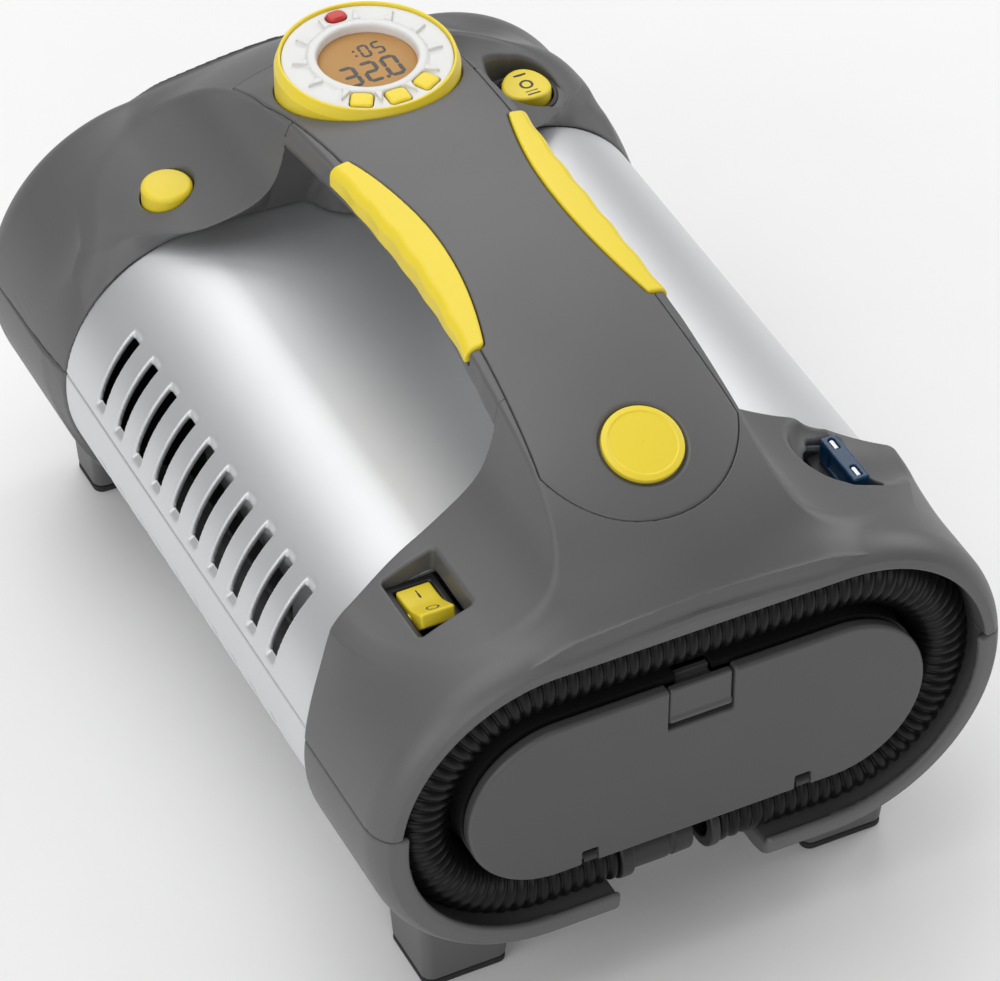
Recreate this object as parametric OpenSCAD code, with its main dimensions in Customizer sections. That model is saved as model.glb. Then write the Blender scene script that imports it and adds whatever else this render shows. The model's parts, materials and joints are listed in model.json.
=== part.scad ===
/* [Body] */
// Width across the end caps
body_w = 188; // [186:1:192]
// Height of the barrel part of an end cap
cap_h = 104; // [103:0.5:106]
// Length from the front rim to the rear face
body_len = 266; // [264:1:270]
// Height of the middle of the barrels above the floor
part_z = 76; // [74:1:80]
// How far the rounded outer edge reaches along the body at both ends
edge_r = 8; // [7:0.5:9]
// How far the rounded outer edge draws in at both ends
edge_in = 6; // [5.5:0.1:6]
// Height of the casing's split above the middle of the barrels
split_z = 6; // [5:0.5:6.5]
// Width of the silver sleeve
sleeve_w = 184; // [182:1:184]
// Height of the silver sleeve
sleeve_h = 88; // [86:1:88]
// Thickness of the silver sleeve
sleeve_t = 2; // [1.5:0.1:2]

/* [Handle] */
// Height of the handle's crest above the middle of the barrels
crest_z = 94.5; // [93.5:0.5:95]
// Half width of the handle
handle_x = 29.2; // [29:0.1:29.5]
// Where the hand gap starts behind the front plane
gap_y0 = 62; // [61:0.5:63]
// Where the hand gap ends at the top of its rear wall
gap_y1 = 190; // [188:0.5:191]
// Thickness of the handle cover
cover_t = 8; // [7:0.5:8.5]
// Thickness of the handle with its cover
handle_t = 14.5; // [14:0.5:15]

/* [Front bin and hose] */
// Width of the bin door
door_w = 136; // [134:1:136]
// Height of the bin door
door_h = 53.4; // [52:0.1:53.4]
// Thickness of the bin door
door_t = 4; // [3.5:0.1:4.2]
// Outer diameter of the hose over its ribs
hose_d = 17; // [16:0.1:17]
// Diameter of the hose between its ribs
hose_root_d = 14.4; // [13.6:0.1:15]
// Bore of the hose
hose_bore_d = 11.2; // [10:0.1:11.6]
// Number of ribs on the hose
hose_ribs = 105; // [80:1:120]

/* [Gauge] */
// Place of the gauge behind the front plane
gauge_y = 200.9; // [200:0.1:202]
// Outer radius of the gauge bezel
bezel_r = 26; // [25.5:0.1:26]
// Level of the gauge face
gauge_z = 93.5; // [93:0.1:95]

/* [Switches] */
// Distance of the front switch from the middle
power_x = 59.9; // [59:0.1:60.5]
// Distance of the fuse from the middle
fuse_x = 64; // [63.5:0.1:64.5]
// Place of the front switch and the fuse behind the front plane
front_sw_y = 40.9; // [40.5:0.1:41]
// Distance of the rear button from the middle
push_x = 53.7; // [53:0.1:54.5]
// Distance of the rear switch from the middle
mode_x = 59.3; // [58.5:0.1:59.5]
// Place of the rear button and the rear switch behind the front plane
rear_sw_y = 220.2; // [219.5:0.1:221]

/* [Hidden] */

$fn = 64;
cap_a = body_w / 2;
cap_r = cap_h / 2;
flat_x = cap_a - cap_r;
sleeve_r = sleeve_h / 2;
sleeve_a = sleeve_w / 2;
sleeve_y0 = 44.5;
sleeve_y1 = 209.5;
fit = 0.1;
far = 120;

// Every piece is drawn from the middle of the front plane, at the parting line
module place() {
    translate([0, -body_len / 2, part_z]) children();
}

// A flat stadium outline with round ends
module stadium2d(a, r) {
    square([2 * (a - r), 2 * r], center = true);
    for (s = [-1, 1]) translate([s * (a - r), 0]) circle(r);
}

// A stadium along the length of the body
module stadium(a, r, y0, y1) {
    translate([0, y1, 0]) rotate([90, 0, 0]) linear_extrude(y1 - y0) stadium2d(a, r);
}

// A block given by its lowest and highest corners
module block(p, q) {
    translate(p) cube(q - p);
}

// A cylinder along the body, along the width, or upright
module rod_y(x, z, r, y0, y1) {
    translate([x, y1, z]) rotate([90, 0, 0]) cylinder(r = r, h = y1 - y0);
}
module rod_x(y, z, r, x0, x1) {
    translate([x0, y, z]) rotate([0, 90, 0]) cylinder(r = r, h = x1 - x0);
}
module rod_z(x, y, r, z0, z1) {
    translate([x, y, z0]) cylinder(r = r, h = z1 - z0);
}

// A closed solid through rings whose points mirror about the middle plane
module loft(rings) {
    n = len(rings[0]);
    m = len(rings);
    sides = [for (j = [0 : m - 2], i = [0 : n - 1])
        let (a = j * n + i, b = j * n + (i + 1) % n, c = a + n, d = b + n)
        each [[a, b, d], [a, d, c]]];
    half = floor((n - 1) / 2);
    function cap(o, flip) = [for (i = [0 : half - 1])
        let (a = o + i, b = o + i + 1, c = o + n - 2 - i, d = o + n - 1 - i)
        each (b == c ? [flip ? [a, d, b] : [a, b, d]]
            : flip ? [[a, c, b], [a, d, c]] : [[a, b, c], [a, c, d]])];
    polyhedron([for (r = rings) each r],
        concat(sides, cap(0, true), cap((m - 1) * n, false)), convexity = 6);
}

// How far the rounded end edge draws the outline in at a place along the body
function round_in(t) = t >= edge_r ? 0 : edge_in * (1 - sqrt(1 - pow((edge_r - t) / edge_r, 2)));
function inset(y) = max(round_in(y), round_in(body_len - y));

// Crest of the handle ridge: an arch of two superellipse quarters that meet at its top,
// with a slight swell in front of the gauge and a drop behind it
crest_base = 46.5;
crest_y = 121;
crest_start = 2;
crest_end = body_len + 2;
front_pow = 2;
rear_pow = 1.9;
deck_swell = 1.6;
tail_drop = 1.5;
function ease(t) = let (u = min(1, max(0, t))) u * u * (3 - 2 * u);
function quarter(t, p) = pow(max(0, 1 - pow(min(1, t), p)), 1 / p);
function deck_change(y) =
    deck_swell * ease((y - 135) / 35) * ease((225 - y) / 40) - tail_drop * ease((y - 212) / 20);
function crest(y) = deck_change(y) + crest_base + (crest_z - crest_base) * (y < crest_y
    ? quarter((crest_y - y) / (crest_y - crest_start), front_pow)
    : quarter((y - crest_y) / (crest_end - crest_y), rear_pow));

// Cross-section of the upper casing: barrels and ridge, cut by the hollowed flanks
end_pow = 1.65;
full_pow = 2.3;
function hill_pow(y) = end_pow + (full_pow - end_pow) * ease((y - 5) / 40) * ease((262 - y) / 60);
flank_level = 65.3;
flank_fall = 0.33;
flank_bend = 83;
flank_wall_x = 26.5;
flank_x0 = flank_wall_x + 1.5;
function barrel(x, y) =
    let (r = cap_r - inset(y), d = abs(x) - flat_x) d <= 0 ? r : sqrt(max(0, r * r - d * d));
function hill(x, y) = crest(y) * quarter(abs(x) / (cap_a - inset(y)), hill_pow(y));
function flank(x) =
    let (ax = abs(x))
    ax <= flank_x0 ? 2 * crest_z : flank_level - flank_fall * ax + flank_bend / (ax - flank_wall_x);
function skin(x, y) = min(flank(x), max(barrel(x, y), hill(x, y)));

// Places across half of a cap where its surface is sampled, from the side to the middle
arc_steps = [90 : -10 : 10];
inner_x = [47, 43, 39.5, 36.5, 34, 32, 30.7, 29.8, 29.2, 28.6, 19, 9];
function half_x(y) = concat([for (a = arc_steps) flat_x + (cap_r - inset(y)) * sin(a)], inner_x);
function both(points) = concat(points, [for (i = [len(points) - 1 : -1 : 0])
    [-points[i].x, points[i].y, points[i].z]]);

// Edge of the front caps where they meet the sleeve, curved across the width
edge_bend_x = 36;
edge_depth = 16;
front_edge = function (x)
    gap_y0 - edge_depth * pow(max(0, abs(x) - edge_bend_x) / (cap_a - edge_bend_x), 1.6);

// Foot and upper edge of the rear wall, which leans forward as it rises beside the handle
wall_foot_y = 205.5;
wall_low = function (x) wall_foot_y + 3 * ease(abs(x) / 50);
wall_high = function (x)
    let (ax = abs(x)) gap_y1 + 0.5 * min(max(0, ax - handle_x), 45) + 7 * ease((ax - 60) / 14);
rear_flare_scale = 0.99;

// Hollows of the caps as half width, radius and share of the height that stays open
channel_land = 1;
channel_a = cap_a - edge_in - channel_land;
channel_r = cap_r - edge_in - channel_land;
channel_y1 = 25;
lap_gap = 0.2;
rear_wall = 4;
channel = [channel_a, channel_r, 1];
lap = [sleeve_a + lap_gap, sleeve_r + lap_gap, 1];
rear_room = [channel_a + 1, channel_r, 1];
shut = [channel_a + 1, channel_r, 0];

// Half of a hollow's outline, from the side to the middle, with as many points as the skin
cap_n = len(half_x(edge_r));
arc_n = 9;
function hollow_half(hollow, y_at) = [for (k = [0 : cap_n - 1])
    let (flat = hollow[0] - hollow[1], t = 90 * min(1, k / arc_n),
        x = k <= arc_n ? flat + hollow[1] * cos(t) : flat * (cap_n - k) / (cap_n - arc_n))
    [x, y_at(x), hollow[2] * hollow[1] * sin(t)]];

// One ring of an upper cap: over the skin, then back along the hollow under it
function reversed(list) = [for (i = [len(list) - 1 : -1 : 0]) list[i]];
function arch(hollow, skin_y, hollow_y) = concat(
    both([for (x = half_x(skin_y(cap_a))) [x, skin_y(x), skin(x, skin_y(x))]]),
    reversed(both(hollow_half(hollow, hollow_y))));
function flat_arch(hollow, y) = let (at = function (x) y) arch(hollow, at, at);
function front_arch(hollow, s) =
    let (at = function (x) edge_r + (front_edge(x) - edge_r) * s) arch(hollow, at, at);
function behind(edge, s) = function (x) edge(x) + (body_len - edge_r - edge(x)) * s;
function rear_arch(hollow, s) = arch(hollow, behind(wall_high, s), behind(wall_low, s));
round_steps = [0, 0.04, 0.18, 0.45, 1];
upper_front_rings = concat([for (s = round_steps) flat_arch(channel, s * edge_r)],
    [for (s = [0.12, 0.25, 0.4, 0.52, 0.62]) front_arch(channel, s)],
    [for (s = [0.66, 0.83, 1]) front_arch(lap, s)]);
upper_rear_rings = concat([for (s = [0, 0.1, 0.2]) rear_arch(lap, s)],
    [for (s = [0.25, 0.4, 0.55, 0.7, 0.85]) rear_arch(rear_room, s)],
    [for (t = [edge_r, rear_wall]) flat_arch(rear_room, body_len - t)],
    [for (t = [rear_wall - 0.5, 1.4, 0.3, 0]) flat_arch(shut, body_len - t)]);

// Rings of the lower caps: stadiums with the same round edge, cut at the split
low_steps = [90 : -10 : 0];
function low_ring(y, k) =
    let (r = cap_r - inset(y), angles = concat([90 + asin(split_z / r)], [for (a = low_steps) a]))
    both([for (a = angles) [k * (flat_x + r * sin(a)), y, -r * cos(a)]]);
lower_front_y1 = front_edge(cap_a);
lower_rear_y0 = wall_low(cap_a);
lower_rear_y1 = wall_high(cap_a);
lower_front_rings = concat([for (s = round_steps) low_ring(s * edge_r, 1)], [low_ring(lower_front_y1, 1)]);
lower_rear_rings = concat([low_ring(lower_rear_y0, rear_flare_scale), low_ring(lower_rear_y1, 1)],
    [for (s = reversed(round_steps)) low_ring(body_len - s * edge_r, 1)]);
lap_y0 = 43.5;
module front_hollow() {
    stadium(channel[0], channel[1], -1, lap_y0 + 0.5);
    stadium(lap[0], lap[1], lap_y0, gap_y0 + 20);
}
module rear_hollow() {
    stadium(lap[0], lap[1], gap_y1 - 20, sleeve_y1 + 1);
    stadium(rear_room[0], rear_room[1], sleeve_y1 + 0.5, body_len - rear_wall);
}

// Outlines drawn in at the waist of the handle, seen from above
handle_waist = [27.2, 442];
cover_waist = [24.5, 800];
module beside_waist(waist, gap) {
    for (s = [-1, 1]) translate([s * (waist[0] + waist[1] + gap), crest_y]) circle(waist[1], $fn = 400);
}

// Plan outline of the handle cover, with a round front end and a flat arc behind
cover_x = 29;
cover_front_c = 48.7;
cover_front_r = 30.7;
cover_rear_c = 138;
cover_rear_r = 95;
module cover_plan(gap) {
    difference() {
        cover_outline(gap);
        beside_waist(cover_waist, gap);
    }
}
module cover_outline(gap) {
    w = cover_x + gap;
    intersection() {
        translate([-w, 0]) square([2 * w, body_len]);
        union() {
            translate([0, cover_front_c]) circle(cover_front_r + gap, $fn = 128);
            translate([-w, cover_front_c]) square([2 * w, crest_y - cover_front_c]);
            intersection() {
                translate([0, cover_rear_c]) circle(cover_rear_r + gap, $fn = 128);
                translate([-w, crest_y - 1]) square([2 * w, body_len - crest_y]);
            }
        }
    }
}

// Everything below the crest's line, lowered by a depth
module below_crest(depth) {
    y0 = 10;
    y1 = 250;
    steps = 48;
    translate([-far, 0, 0]) rotate([90, 0, 90]) linear_extrude(2 * far)
        polygon(concat([[y0, -far]], [for (i = [0 : steps]) let (y = y0 + (y1 - y0) * i / steps)
            [y, crest(y) - depth]], [[y1, -far]]));
}
module cover_space(gap) {
    difference() {
        translate([0, 0, crest_base]) linear_extrude(far) cover_plan(gap);
        below_crest(cover_t + gap);
    }
}

// Solid of the ridge alone, from a floor level up to its skin
module ridge(w, floor_z, lift, y0, y1, steps) {
    xs = [w, 0.92 * w, 0.78 * w, 0.55 * w, 0.28 * w];
    loft([for (i = [0 : steps]) let (y = y0 + (y1 - y0) * i / steps)
        both(concat([[w, y, floor_z]], [for (x = xs) [x, y, min(flank(x), hill(x, y) + lift)]]))]);
}

// Lens-shaped place of a grip along one edge of the bridge
grip_y = [79.5, 162.5];
grip_in = 18;
grip_bow_r = 140;
grip_proud = 0.6;
grip_z = 85;
grip_gap = 0.3;
module grip_prism(side, gap, z0) {
    translate([0, 0, z0]) linear_extrude(40) difference() {
        intersection() {
            translate([side * (grip_in + grip_bow_r), crest_y]) circle(grip_bow_r + gap, $fn = 200);
            translate([side > 0 ? 10 : -50, grip_y[0] - gap]) square([40, grip_y[1] - grip_y[0] + 2 * gap]);
        }
        beside_waist(handle_waist, grip_proud);
    }
}

// Colours as they look in daylight
casing = "#5c5c5e";
casing_dark = "#3a3a3c";
silver = "#d2d3d5";
yellow = "#f2dc3c";
black = "#1c1c1e";
metal = "#b8babd";
board = "#2f6b3a";

badge_y = 36.3;
badge_r = 11.1;
badge_tilt = 21.8;
module at_badge() {
    translate([0, badge_y, crest(badge_y)]) rotate([badge_tilt, 0, 0]) children();
}

// Openings for the controls
power_hole = [15.2, 23.4];
fuse_hole = [11, 25];
fuse_bowl_at = [66.5, 43.5, 52.5];
fuse_bowl = [17.4, 17, 11];
button_r = 7.4;
button_hole_r = 7.7;
mode_cup = [9, 9.4];
hole_z = [20, 70];
module square_opening(x, size) {
    translate([x, front_sw_y, hole_z[0]]) linear_extrude(hole_z[1] - hole_z[0]) square(size, center = true);
}
gauge_low = 79.5;
module gauge_well() {
    rod_z(0, gauge_y, bezel_r + 0.15, gauge_low, far);
}
module below_split() {
    block([-far, -1, -far], [far, body_len + 1, split_z]);
}

// End caps
module upper_front_cap() {
    color(casing) place() difference() {
        loft(upper_front_rings);
        below_split();
        cover_space(fit);
        square_opening(-power_x, power_hole);
        square_opening(fuse_x, fuse_hole);
        translate(fuse_bowl_at) scale(fuse_bowl) sphere(1);
    }
}
foot_x0 = 45;
foot_x1 = 72;
feet_y = [[19, 44], [243, 261]];
foot_top = -44;
pad_t = 2;
foot_bottom = -part_z + pad_t;
foot_taper = 1;
module foot(side, y) {
    x0 = side > 0 ? foot_x0 : -foot_x1;
    x1 = side > 0 ? foot_x1 : -foot_x0;
    t = foot_taper;
    hull() {
        block([x0 - t, y[0] - t, foot_top - 0.1], [x1 + t, y[1] + t, foot_top]);
        block([x0 + t, y[0] + t, foot_bottom], [x1 - t, y[1] - t, foot_bottom + 0.1]);
    }
}
lip_gap_x = 22;
module lower_front_cap() {
    color(casing) place() difference() {
        union() {
            loft(reversed(lower_front_rings));
            for (s = [-1, 1]) foot(s, feet_y[0]);
        }
        front_hollow();
        block([-lip_gap_x, -1, -70], [lip_gap_x, channel_y1 - 4, -20]);
    }
}
post_r = 17.2;
post_y = 210;
post_z = [sleeve_r + 0.3, 74.3];
module upper_rear_cap() {
    color(casing) place() difference() {
        union() {
            loft(upper_rear_rings);
            rod_z(0, post_y, post_r, post_z[0], post_z[1]);
        }
        below_split();
        cover_space(fit);
        gauge_well();
        rod_z(-push_x, rear_sw_y, button_hole_r, hole_z[0], hole_z[1]);
        translate([mode_x, rear_sw_y, hole_z[0]]) linear_extrude(hole_z[1] - hole_z[0]) mode_oval(mode_cup);
    }
}
gland_z = -24;
gland_r = 8;
screw_x = 72;
screw_z = 22;
module lower_rear_cap() {
    color(casing) place() difference() {
        union() {
            loft(reversed(lower_rear_rings));
            for (s = [-1, 1]) foot(s, feet_y[1]);
        }
        rear_hollow();
        rod_y(0, gland_z, gland_r, body_len - 10, body_len + 1);
        for (s = [-1, 1]) rod_y(s * screw_x, -screw_z, 2.1, body_len - 10, body_len + 1);
        for (s = [-1, 1]) rod_y(s * screw_x, -screw_z, 4, body_len - 1.8, body_len + 1);
    }
}

// Sleeve halves with their vent slots, in the upper half on the left side only
vent_n = 10;
vent_y0 = 73.5;
vent_pitch = 12.57;
vent_w = 4.6;
vent_z = [9, 33];
control_room = [10.5, 53.5];
module half_sleeve(s) {
    difference() {
        stadium(sleeve_a, sleeve_r, sleeve_y0, sleeve_y1);
        stadium(sleeve_a - sleeve_t, sleeve_r - sleeve_t, sleeve_y0 - 1, sleeve_y1 + 1);
        block([-far, 0, s > 0 ? -far : split_z], [far, body_len, s > 0 ? split_z : far]);
        for (i = [0 : vent_n - 1]) vent_slot(vent_y0 + i * vent_pitch, s, s > 0 ? 0 : far);
        if (s > 0) for (x = [-power_x, fuse_x])
            block([x - control_room.x, 0, hole_z[0]], [x + control_room.x, control_room.y, hole_z[1]]);
    }
}
module vent_slot(y, s, x1) {
    r = vent_w / 2;
    lo = min(s * vent_z[0], s * vent_z[1]);
    hi = max(s * vent_z[0], s * vent_z[1]);
    block([-far, y - r, lo + r], [x1, y + r, hi - r]);
    for (z = [lo + r, hi - r]) rod_x(y, z, r, -far, x1);
}
module upper_sleeve() {
    color(silver) place() half_sleeve(1);
}
module lower_sleeve() {
    color(silver) place() half_sleeve(-1);
}
tray_x = 82;
tray_y = [58, 192];
tray_z = [-26, -35, -52];
tray_low_x = tray_x + tray_z[2] - tray_z[1];
module base_tray() {
    color(silver) place() difference() {
        translate([0, tray_y[1], 0]) rotate([90, 0, 0]) linear_extrude(tray_y[1] - tray_y[0])
            polygon([[-tray_x, tray_z[0]], [-tray_x, tray_z[1]], [-tray_low_x, tray_z[2]],
                [tray_low_x, tray_z[2]], [tray_x, tray_z[1]], [tray_x, tray_z[0]]]);
        stadium(sleeve_a + 0.05, sleeve_r + 0.05, tray_y[0] - 5, tray_y[1] + 5);
    }
}
module foot_pads() {
    t = foot_taper;
    color(black) place() for (s = [-1, 1], y = feet_y)
        block([s > 0 ? foot_x0 + t : -foot_x1 + t, y[0] + t, -part_z],
            [s > 0 ? foot_x1 - t : -foot_x0 - t, y[1] - t, foot_bottom]);
}

// Handle: a beam between the caps, with the cover let into its top
wall_lean = 0.2;
beam_end_z = 86;
module behind_rear_wall() {
    y = gap_y1 - 0.4;
    translate([-far, 0, 0]) rotate([90, 0, 90]) linear_extrude(2 * far)
        polygon([[y, far], [y, beam_end_z], [y + wall_lean * beam_end_z, 0], [body_len, 0], [body_len, far]]);
}
module handle_plan() {
    difference() {
        translate([-handle_x, gap_y0 + 0.05]) square([2 * handle_x, gap_y1 - gap_y0 + 10]);
        beside_waist(handle_waist, 0);
    }
}
module handle_beam() {
    color(casing) place() difference() {
        intersection() {
            ridge(handle_x + 2, crest_base, 0, gap_y0 - 2, gap_y1 + 10, 32);
            linear_extrude(far) handle_plan();
        }
        below_crest(handle_t);
        behind_rear_wall();
        cover_space(fit);
        for (s = [-1, 1]) grip_prism(s, grip_gap, grip_z);
        gauge_well();
    }
}
badge_low = -1.6;
badge_t = 2.8;
module handle_cover() {
    color(casing) place() difference() {
        intersection() {
            ridge(handle_x + 2, crest_base, 0, 14, 240, 40);
            cover_space(0);
        }
        for (s = [-1, 1]) grip_prism(s, grip_gap, grip_z);
        gauge_well();
        at_badge() translate([0, 0, badge_low]) cylinder(r = badge_r + 0.5, h = 20);
    }
}
module grip(side) {
    color(yellow) place() intersection() {
        ridge(handle_x + 2, crest_base, grip_proud, grip_y[0] - 2, grip_y[1] + 2, 14);
        grip_prism(side, 0, grip_z);
    }
}
module grip_left() {
    grip(-1);
}
module grip_right() {
    grip(1);
}
module badge_disc() {
    color(yellow) place() at_badge() translate([0, 0, badge_low]) cylinder(r = badge_r, h = badge_t);
}

// Accessory bin with its door and latch
bin_a = door_w / 2;
bin_r = door_h / 2;
bin_wall = 2.2;
bin_y0 = 5.2;
bin_y1 = 58;
hinge_y = door_t / 2;
hinge_z = -bin_r + 2;
pin_r = 1;
ear_x = [30, 34];
module front_bulkhead() {
    color(black) place() difference() {
        stadium(channel_a - 0.3, channel_r - 0.3, channel_y1 - 3, channel_y1);
        stadium(bin_a + 0.05, bin_r + 0.05, 0, 50);
    }
}
latch_slot = [5.5, 10.6];
module accessory_bin() {
    color(black) place() difference() {
        union() {
            difference() {
                stadium(bin_a, bin_r, bin_y0, bin_y1);
                stadium(bin_a - bin_wall, bin_r - bin_wall, 0, bin_y1 - bin_wall);
            }
            for (s = [-1, 1]) hinge_ear(s);
        }
        rod_x(hinge_y, hinge_z, pin_r, -60, 60);
        block([-latch_slot.x, bin_y0 - 1, 10], [latch_slot.x, latch_slot.y, 40]);
    }
}
module hinge_ear(s) {
    x0 = s > 0 ? ear_x[0] : -ear_x[1];
    x1 = s > 0 ? ear_x[1] : -ear_x[0];
    rod_x(hinge_y, hinge_z, 1.95, x0, x1);
    block([x0, hinge_y, -bin_r], [x1, bin_y0 + 3, -bin_r + bin_wall]);
}
notch_x = 9.7;
notch_z = 12.6;
latch_y = 2;
latch_z = 14.8;
latch_pin_r = 0.9;
module bin_door() {
    color(casing_dark) place() difference() {
        stadium(bin_a, bin_r, 0, door_t);
        block([-notch_x, -1, notch_z], [notch_x, door_t + 1, 40]);
        rod_x(hinge_y, hinge_z, pin_r + 0.05, -60, 60);
        for (s = [-1, 1]) block([s > 0 ? ear_x[0] - 0.4 : -ear_x[1] - 0.4, -1, -40],
            [s > 0 ? ear_x[1] + 0.4 : -ear_x[0] + 0.4, door_t + 1, hinge_z + 3]);
        rod_x(latch_y, latch_z, latch_pin_r + 0.05, -notch_x - 1.6, notch_x + 1.6);
    }
}
module door_hinge_pin() {
    color(metal) place() rod_x(hinge_y, hinge_z, pin_r, -36, 36);
}
module door_latch() {
    color(casing_dark) place() {
        block([-notch_x + 0.4, 0.7, 13.6], [notch_x - 0.4, 3.1, 26.2]);
        rod_x(latch_y, latch_z, latch_pin_r, -notch_x - 1.3, notch_x + 1.3);
        block([-5, 3, 21.4], [5, 8.4, 23.6]);
        block([-5, 6.6, 23], [5, 8.4, 25.4]);
    }
}

// Ribbed hose, stowed round the bin
hose_y = 11.5;
hose_run_a = channel_a - 0.5 - hose_d / 2;
hose_run_r = channel_r - 0.5 - hose_d / 2;
hose_flat = hose_run_a - hose_run_r;
hose_x0 = 9;
hose_x1 = -21;
arc_len = PI * hose_run_r;
run1 = hose_flat - hose_x0;
run3 = run1 + arc_len + 2 * hose_flat;
run4 = run3 + arc_len;
hose_len = run4 + hose_x1 + hose_flat;
// Direction of travel along the hose, in degrees from the width axis
function hose_turn(s) =
    s < run1 ? 0
        : s < run1 + arc_len ? 180 * (s - run1) / arc_len
        : s < run3 ? 180
        : s < run4 ? 180 + 180 * (s - run3) / arc_len : 360;
function hose_point(s) =
    let (t = hose_turn(s))
    s < run1 ? [hose_x0 + s, -hose_run_r]
        : s < run1 + arc_len ? [hose_flat + hose_run_r * sin(t), -hose_run_r * cos(t)]
        : s < run3 ? [hose_flat - (s - run1 - arc_len), hose_run_r]
        : s < run4 ? [-hose_flat + hose_run_r * sin(t), -hose_run_r * cos(t)]
        : [-hose_flat + (s - run4), -hose_run_r];
hose_sides = 8;
function hose_ring(s, r) =
    let (p = hose_point(s), t = hose_turn(s))
    [for (i = [0 : hose_sides - 1]) let (a = 360 * (i + 0.5) / hose_sides)
        [p.x + r * cos(a) * sin(t), hose_y + r * sin(a), p.y - r * cos(a) * cos(t)]];
rib_step = hose_len / (2 * hose_ribs);
bore_rings = 48;
module air_hose() {
    outer = [for (k = [0 : 2 * hose_ribs]) hose_ring(k * rib_step, (k % 2 == 0 ? hose_root_d : hose_d) / 2)];
    inner = [for (k = [bore_rings : -1 : 0]) hose_ring(hose_len * k / bore_rings, hose_bore_d / 2)];
    rings = concat(outer, inner);
    n = hose_sides;
    m = len(rings);
    faces = [for (j = [0 : m - 1], i = [0 : n - 1])
        let (a = j * n + i, b = j * n + (i + 1) % n, c = ((j + 1) % m) * n + i, d = ((j + 1) % m) * n + (i + 1) % n)
        each [[a, d, b], [a, c, d]]];
    color(black) place() polyhedron([for (r = rings) each r], faces, convexity = 8);
}
collar_r = 9;
cuff_r = 7.6;
cuff_x1 = 1.5;
module hose_cuff() {
    color(black) place() difference() {
        union() {
            rod_x(hose_y, -hose_run_r, collar_r, hose_x1, hose_x1 + 4);
            rod_x(hose_y, -hose_run_r, cuff_r, hose_x1 + 4, cuff_x1);
        }
        rod_x(hose_y, -hose_run_r, hose_bore_d / 2, hose_x1 - 1, cuff_x1 + 1);
    }
}
module hose_end_ring() {
    color(black) place() difference() {
        rod_x(hose_y, -hose_run_r, collar_r, hose_x0 - 3, hose_x0);
        rod_x(hose_y, -hose_run_r, hose_bore_d / 2, hose_x0 - 4, hose_x0 + 1);
    }
}

// Gauge
face_r = bezel_r - 2;
face_t = 2.7;
rim_t = 0.8;
rim_lift = 0.9;
skirt_t = 1;
lcd_r = 14.1;
panel_r = 15;
panel_t = 3;
pcb_z = 82;
pcb_t = 1.6;
pcb_top = pcb_z + pcb_t;
ledge_r = face_r - 1.5;
key_ring_r = 19.6;
stop_ring_r = 20.4;
gauge_key = [6.3, 5.7];
stop_key = [5.7, 4.1];
key_play = 0.25;
key_low = gauge_z - 4.6;
key_top = gauge_z + 0.6;
key_angles = [240, 270, 300];
stop_angle = 90;
tact_h = 0.8;
stem_gap = 1.1;
stem_r = 1.4;
module at_gauge(angle, ring_r, z) {
    translate([0, gauge_y, z]) rotate(angle) translate([ring_r, 0, 0]) children();
}
module gauge_bezel() {
    top = gauge_z + rim_lift;
    inner = face_r + 0.05;
    color(yellow) place() translate([0, gauge_y, 0]) rotate_extrude($fn = 128)
        polygon([[ledge_r, gauge_low], [bezel_r, gauge_low], [bezel_r, gauge_z - 3], [face_r + rim_t, top],
            [inner + 0.1, top], [inner, gauge_z], [inner, pcb_z], [ledge_r, pcb_z]]);
}
module gauge_face() {
    color("#eeeeec") place() difference() {
        union() {
            rod_z(0, gauge_y, face_r, gauge_z - face_t, gauge_z);
            difference() {
                rod_z(0, gauge_y, face_r - fit, pcb_top, gauge_z - face_t);
                rod_z(0, gauge_y, face_r - skirt_t, pcb_z, gauge_z);
            }
        }
        rod_z(0, gauge_y, lcd_r, pcb_z, far);
        for (a = key_angles) at_gauge(a, key_ring_r, pcb_z) linear_extrude(far) key_plan(key_play);
        at_gauge(stop_angle, stop_ring_r, pcb_z) linear_extrude(far) stop_plan(key_play);
    }
}
module key_plan(gap) {
    square([gauge_key.y + 2 * gap, gauge_key.x + 2 * gap], center = true);
}
module stop_plan(gap) {
    half = (stop_key.x - stop_key.y) / 2;
    square([stop_key.y + 2 * gap, 2 * half], center = true);
    for (s = [-1, 1]) translate([0, s * half]) circle(stop_key.y / 2 + gap);
}
module lcd_panel() {
    color("#b98a4a") place() rod_z(0, gauge_y, panel_r, gauge_z - face_t - panel_t, gauge_z - face_t);
}
module lcd_lens() {
    color("#d9c8a0") place() rod_z(0, gauge_y, lcd_r - fit, gauge_z - face_t, gauge_z - 0.3);
}
module gauge_pcb() {
    color(board) place() rod_z(0, gauge_y, face_r - fit, pcb_z, pcb_top);
}
module tact_switches() {
    color(black) place() {
        for (a = key_angles) at_gauge(a, key_ring_r, pcb_top) cylinder(r = 2.2, h = tact_h);
        at_gauge(stop_angle, stop_ring_r, pcb_top) cylinder(r = 2.2, h = tact_h);
    }
}
module key_cap(angle, ring_r) {
    at_gauge(angle, ring_r, 0) {
        translate([0, 0, key_low]) linear_extrude(key_top - key_low) children();
        rod_z(0, 0, stem_r, pcb_top + tact_h + stem_gap, key_low + 0.1);
    }
}
module gauge_button_left() {
    color(yellow) place() key_cap(key_angles[0], key_ring_r) key_plan(0);
}
module gauge_button_middle() {
    color(yellow) place() key_cap(key_angles[1], key_ring_r) key_plan(0);
}
module gauge_button_right() {
    color(yellow) place() key_cap(key_angles[2], key_ring_r) key_plan(0);
}
module stop_button() {
    color("#d94a45") place() key_cap(stop_angle, stop_ring_r) stop_plan(0);
}

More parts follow.
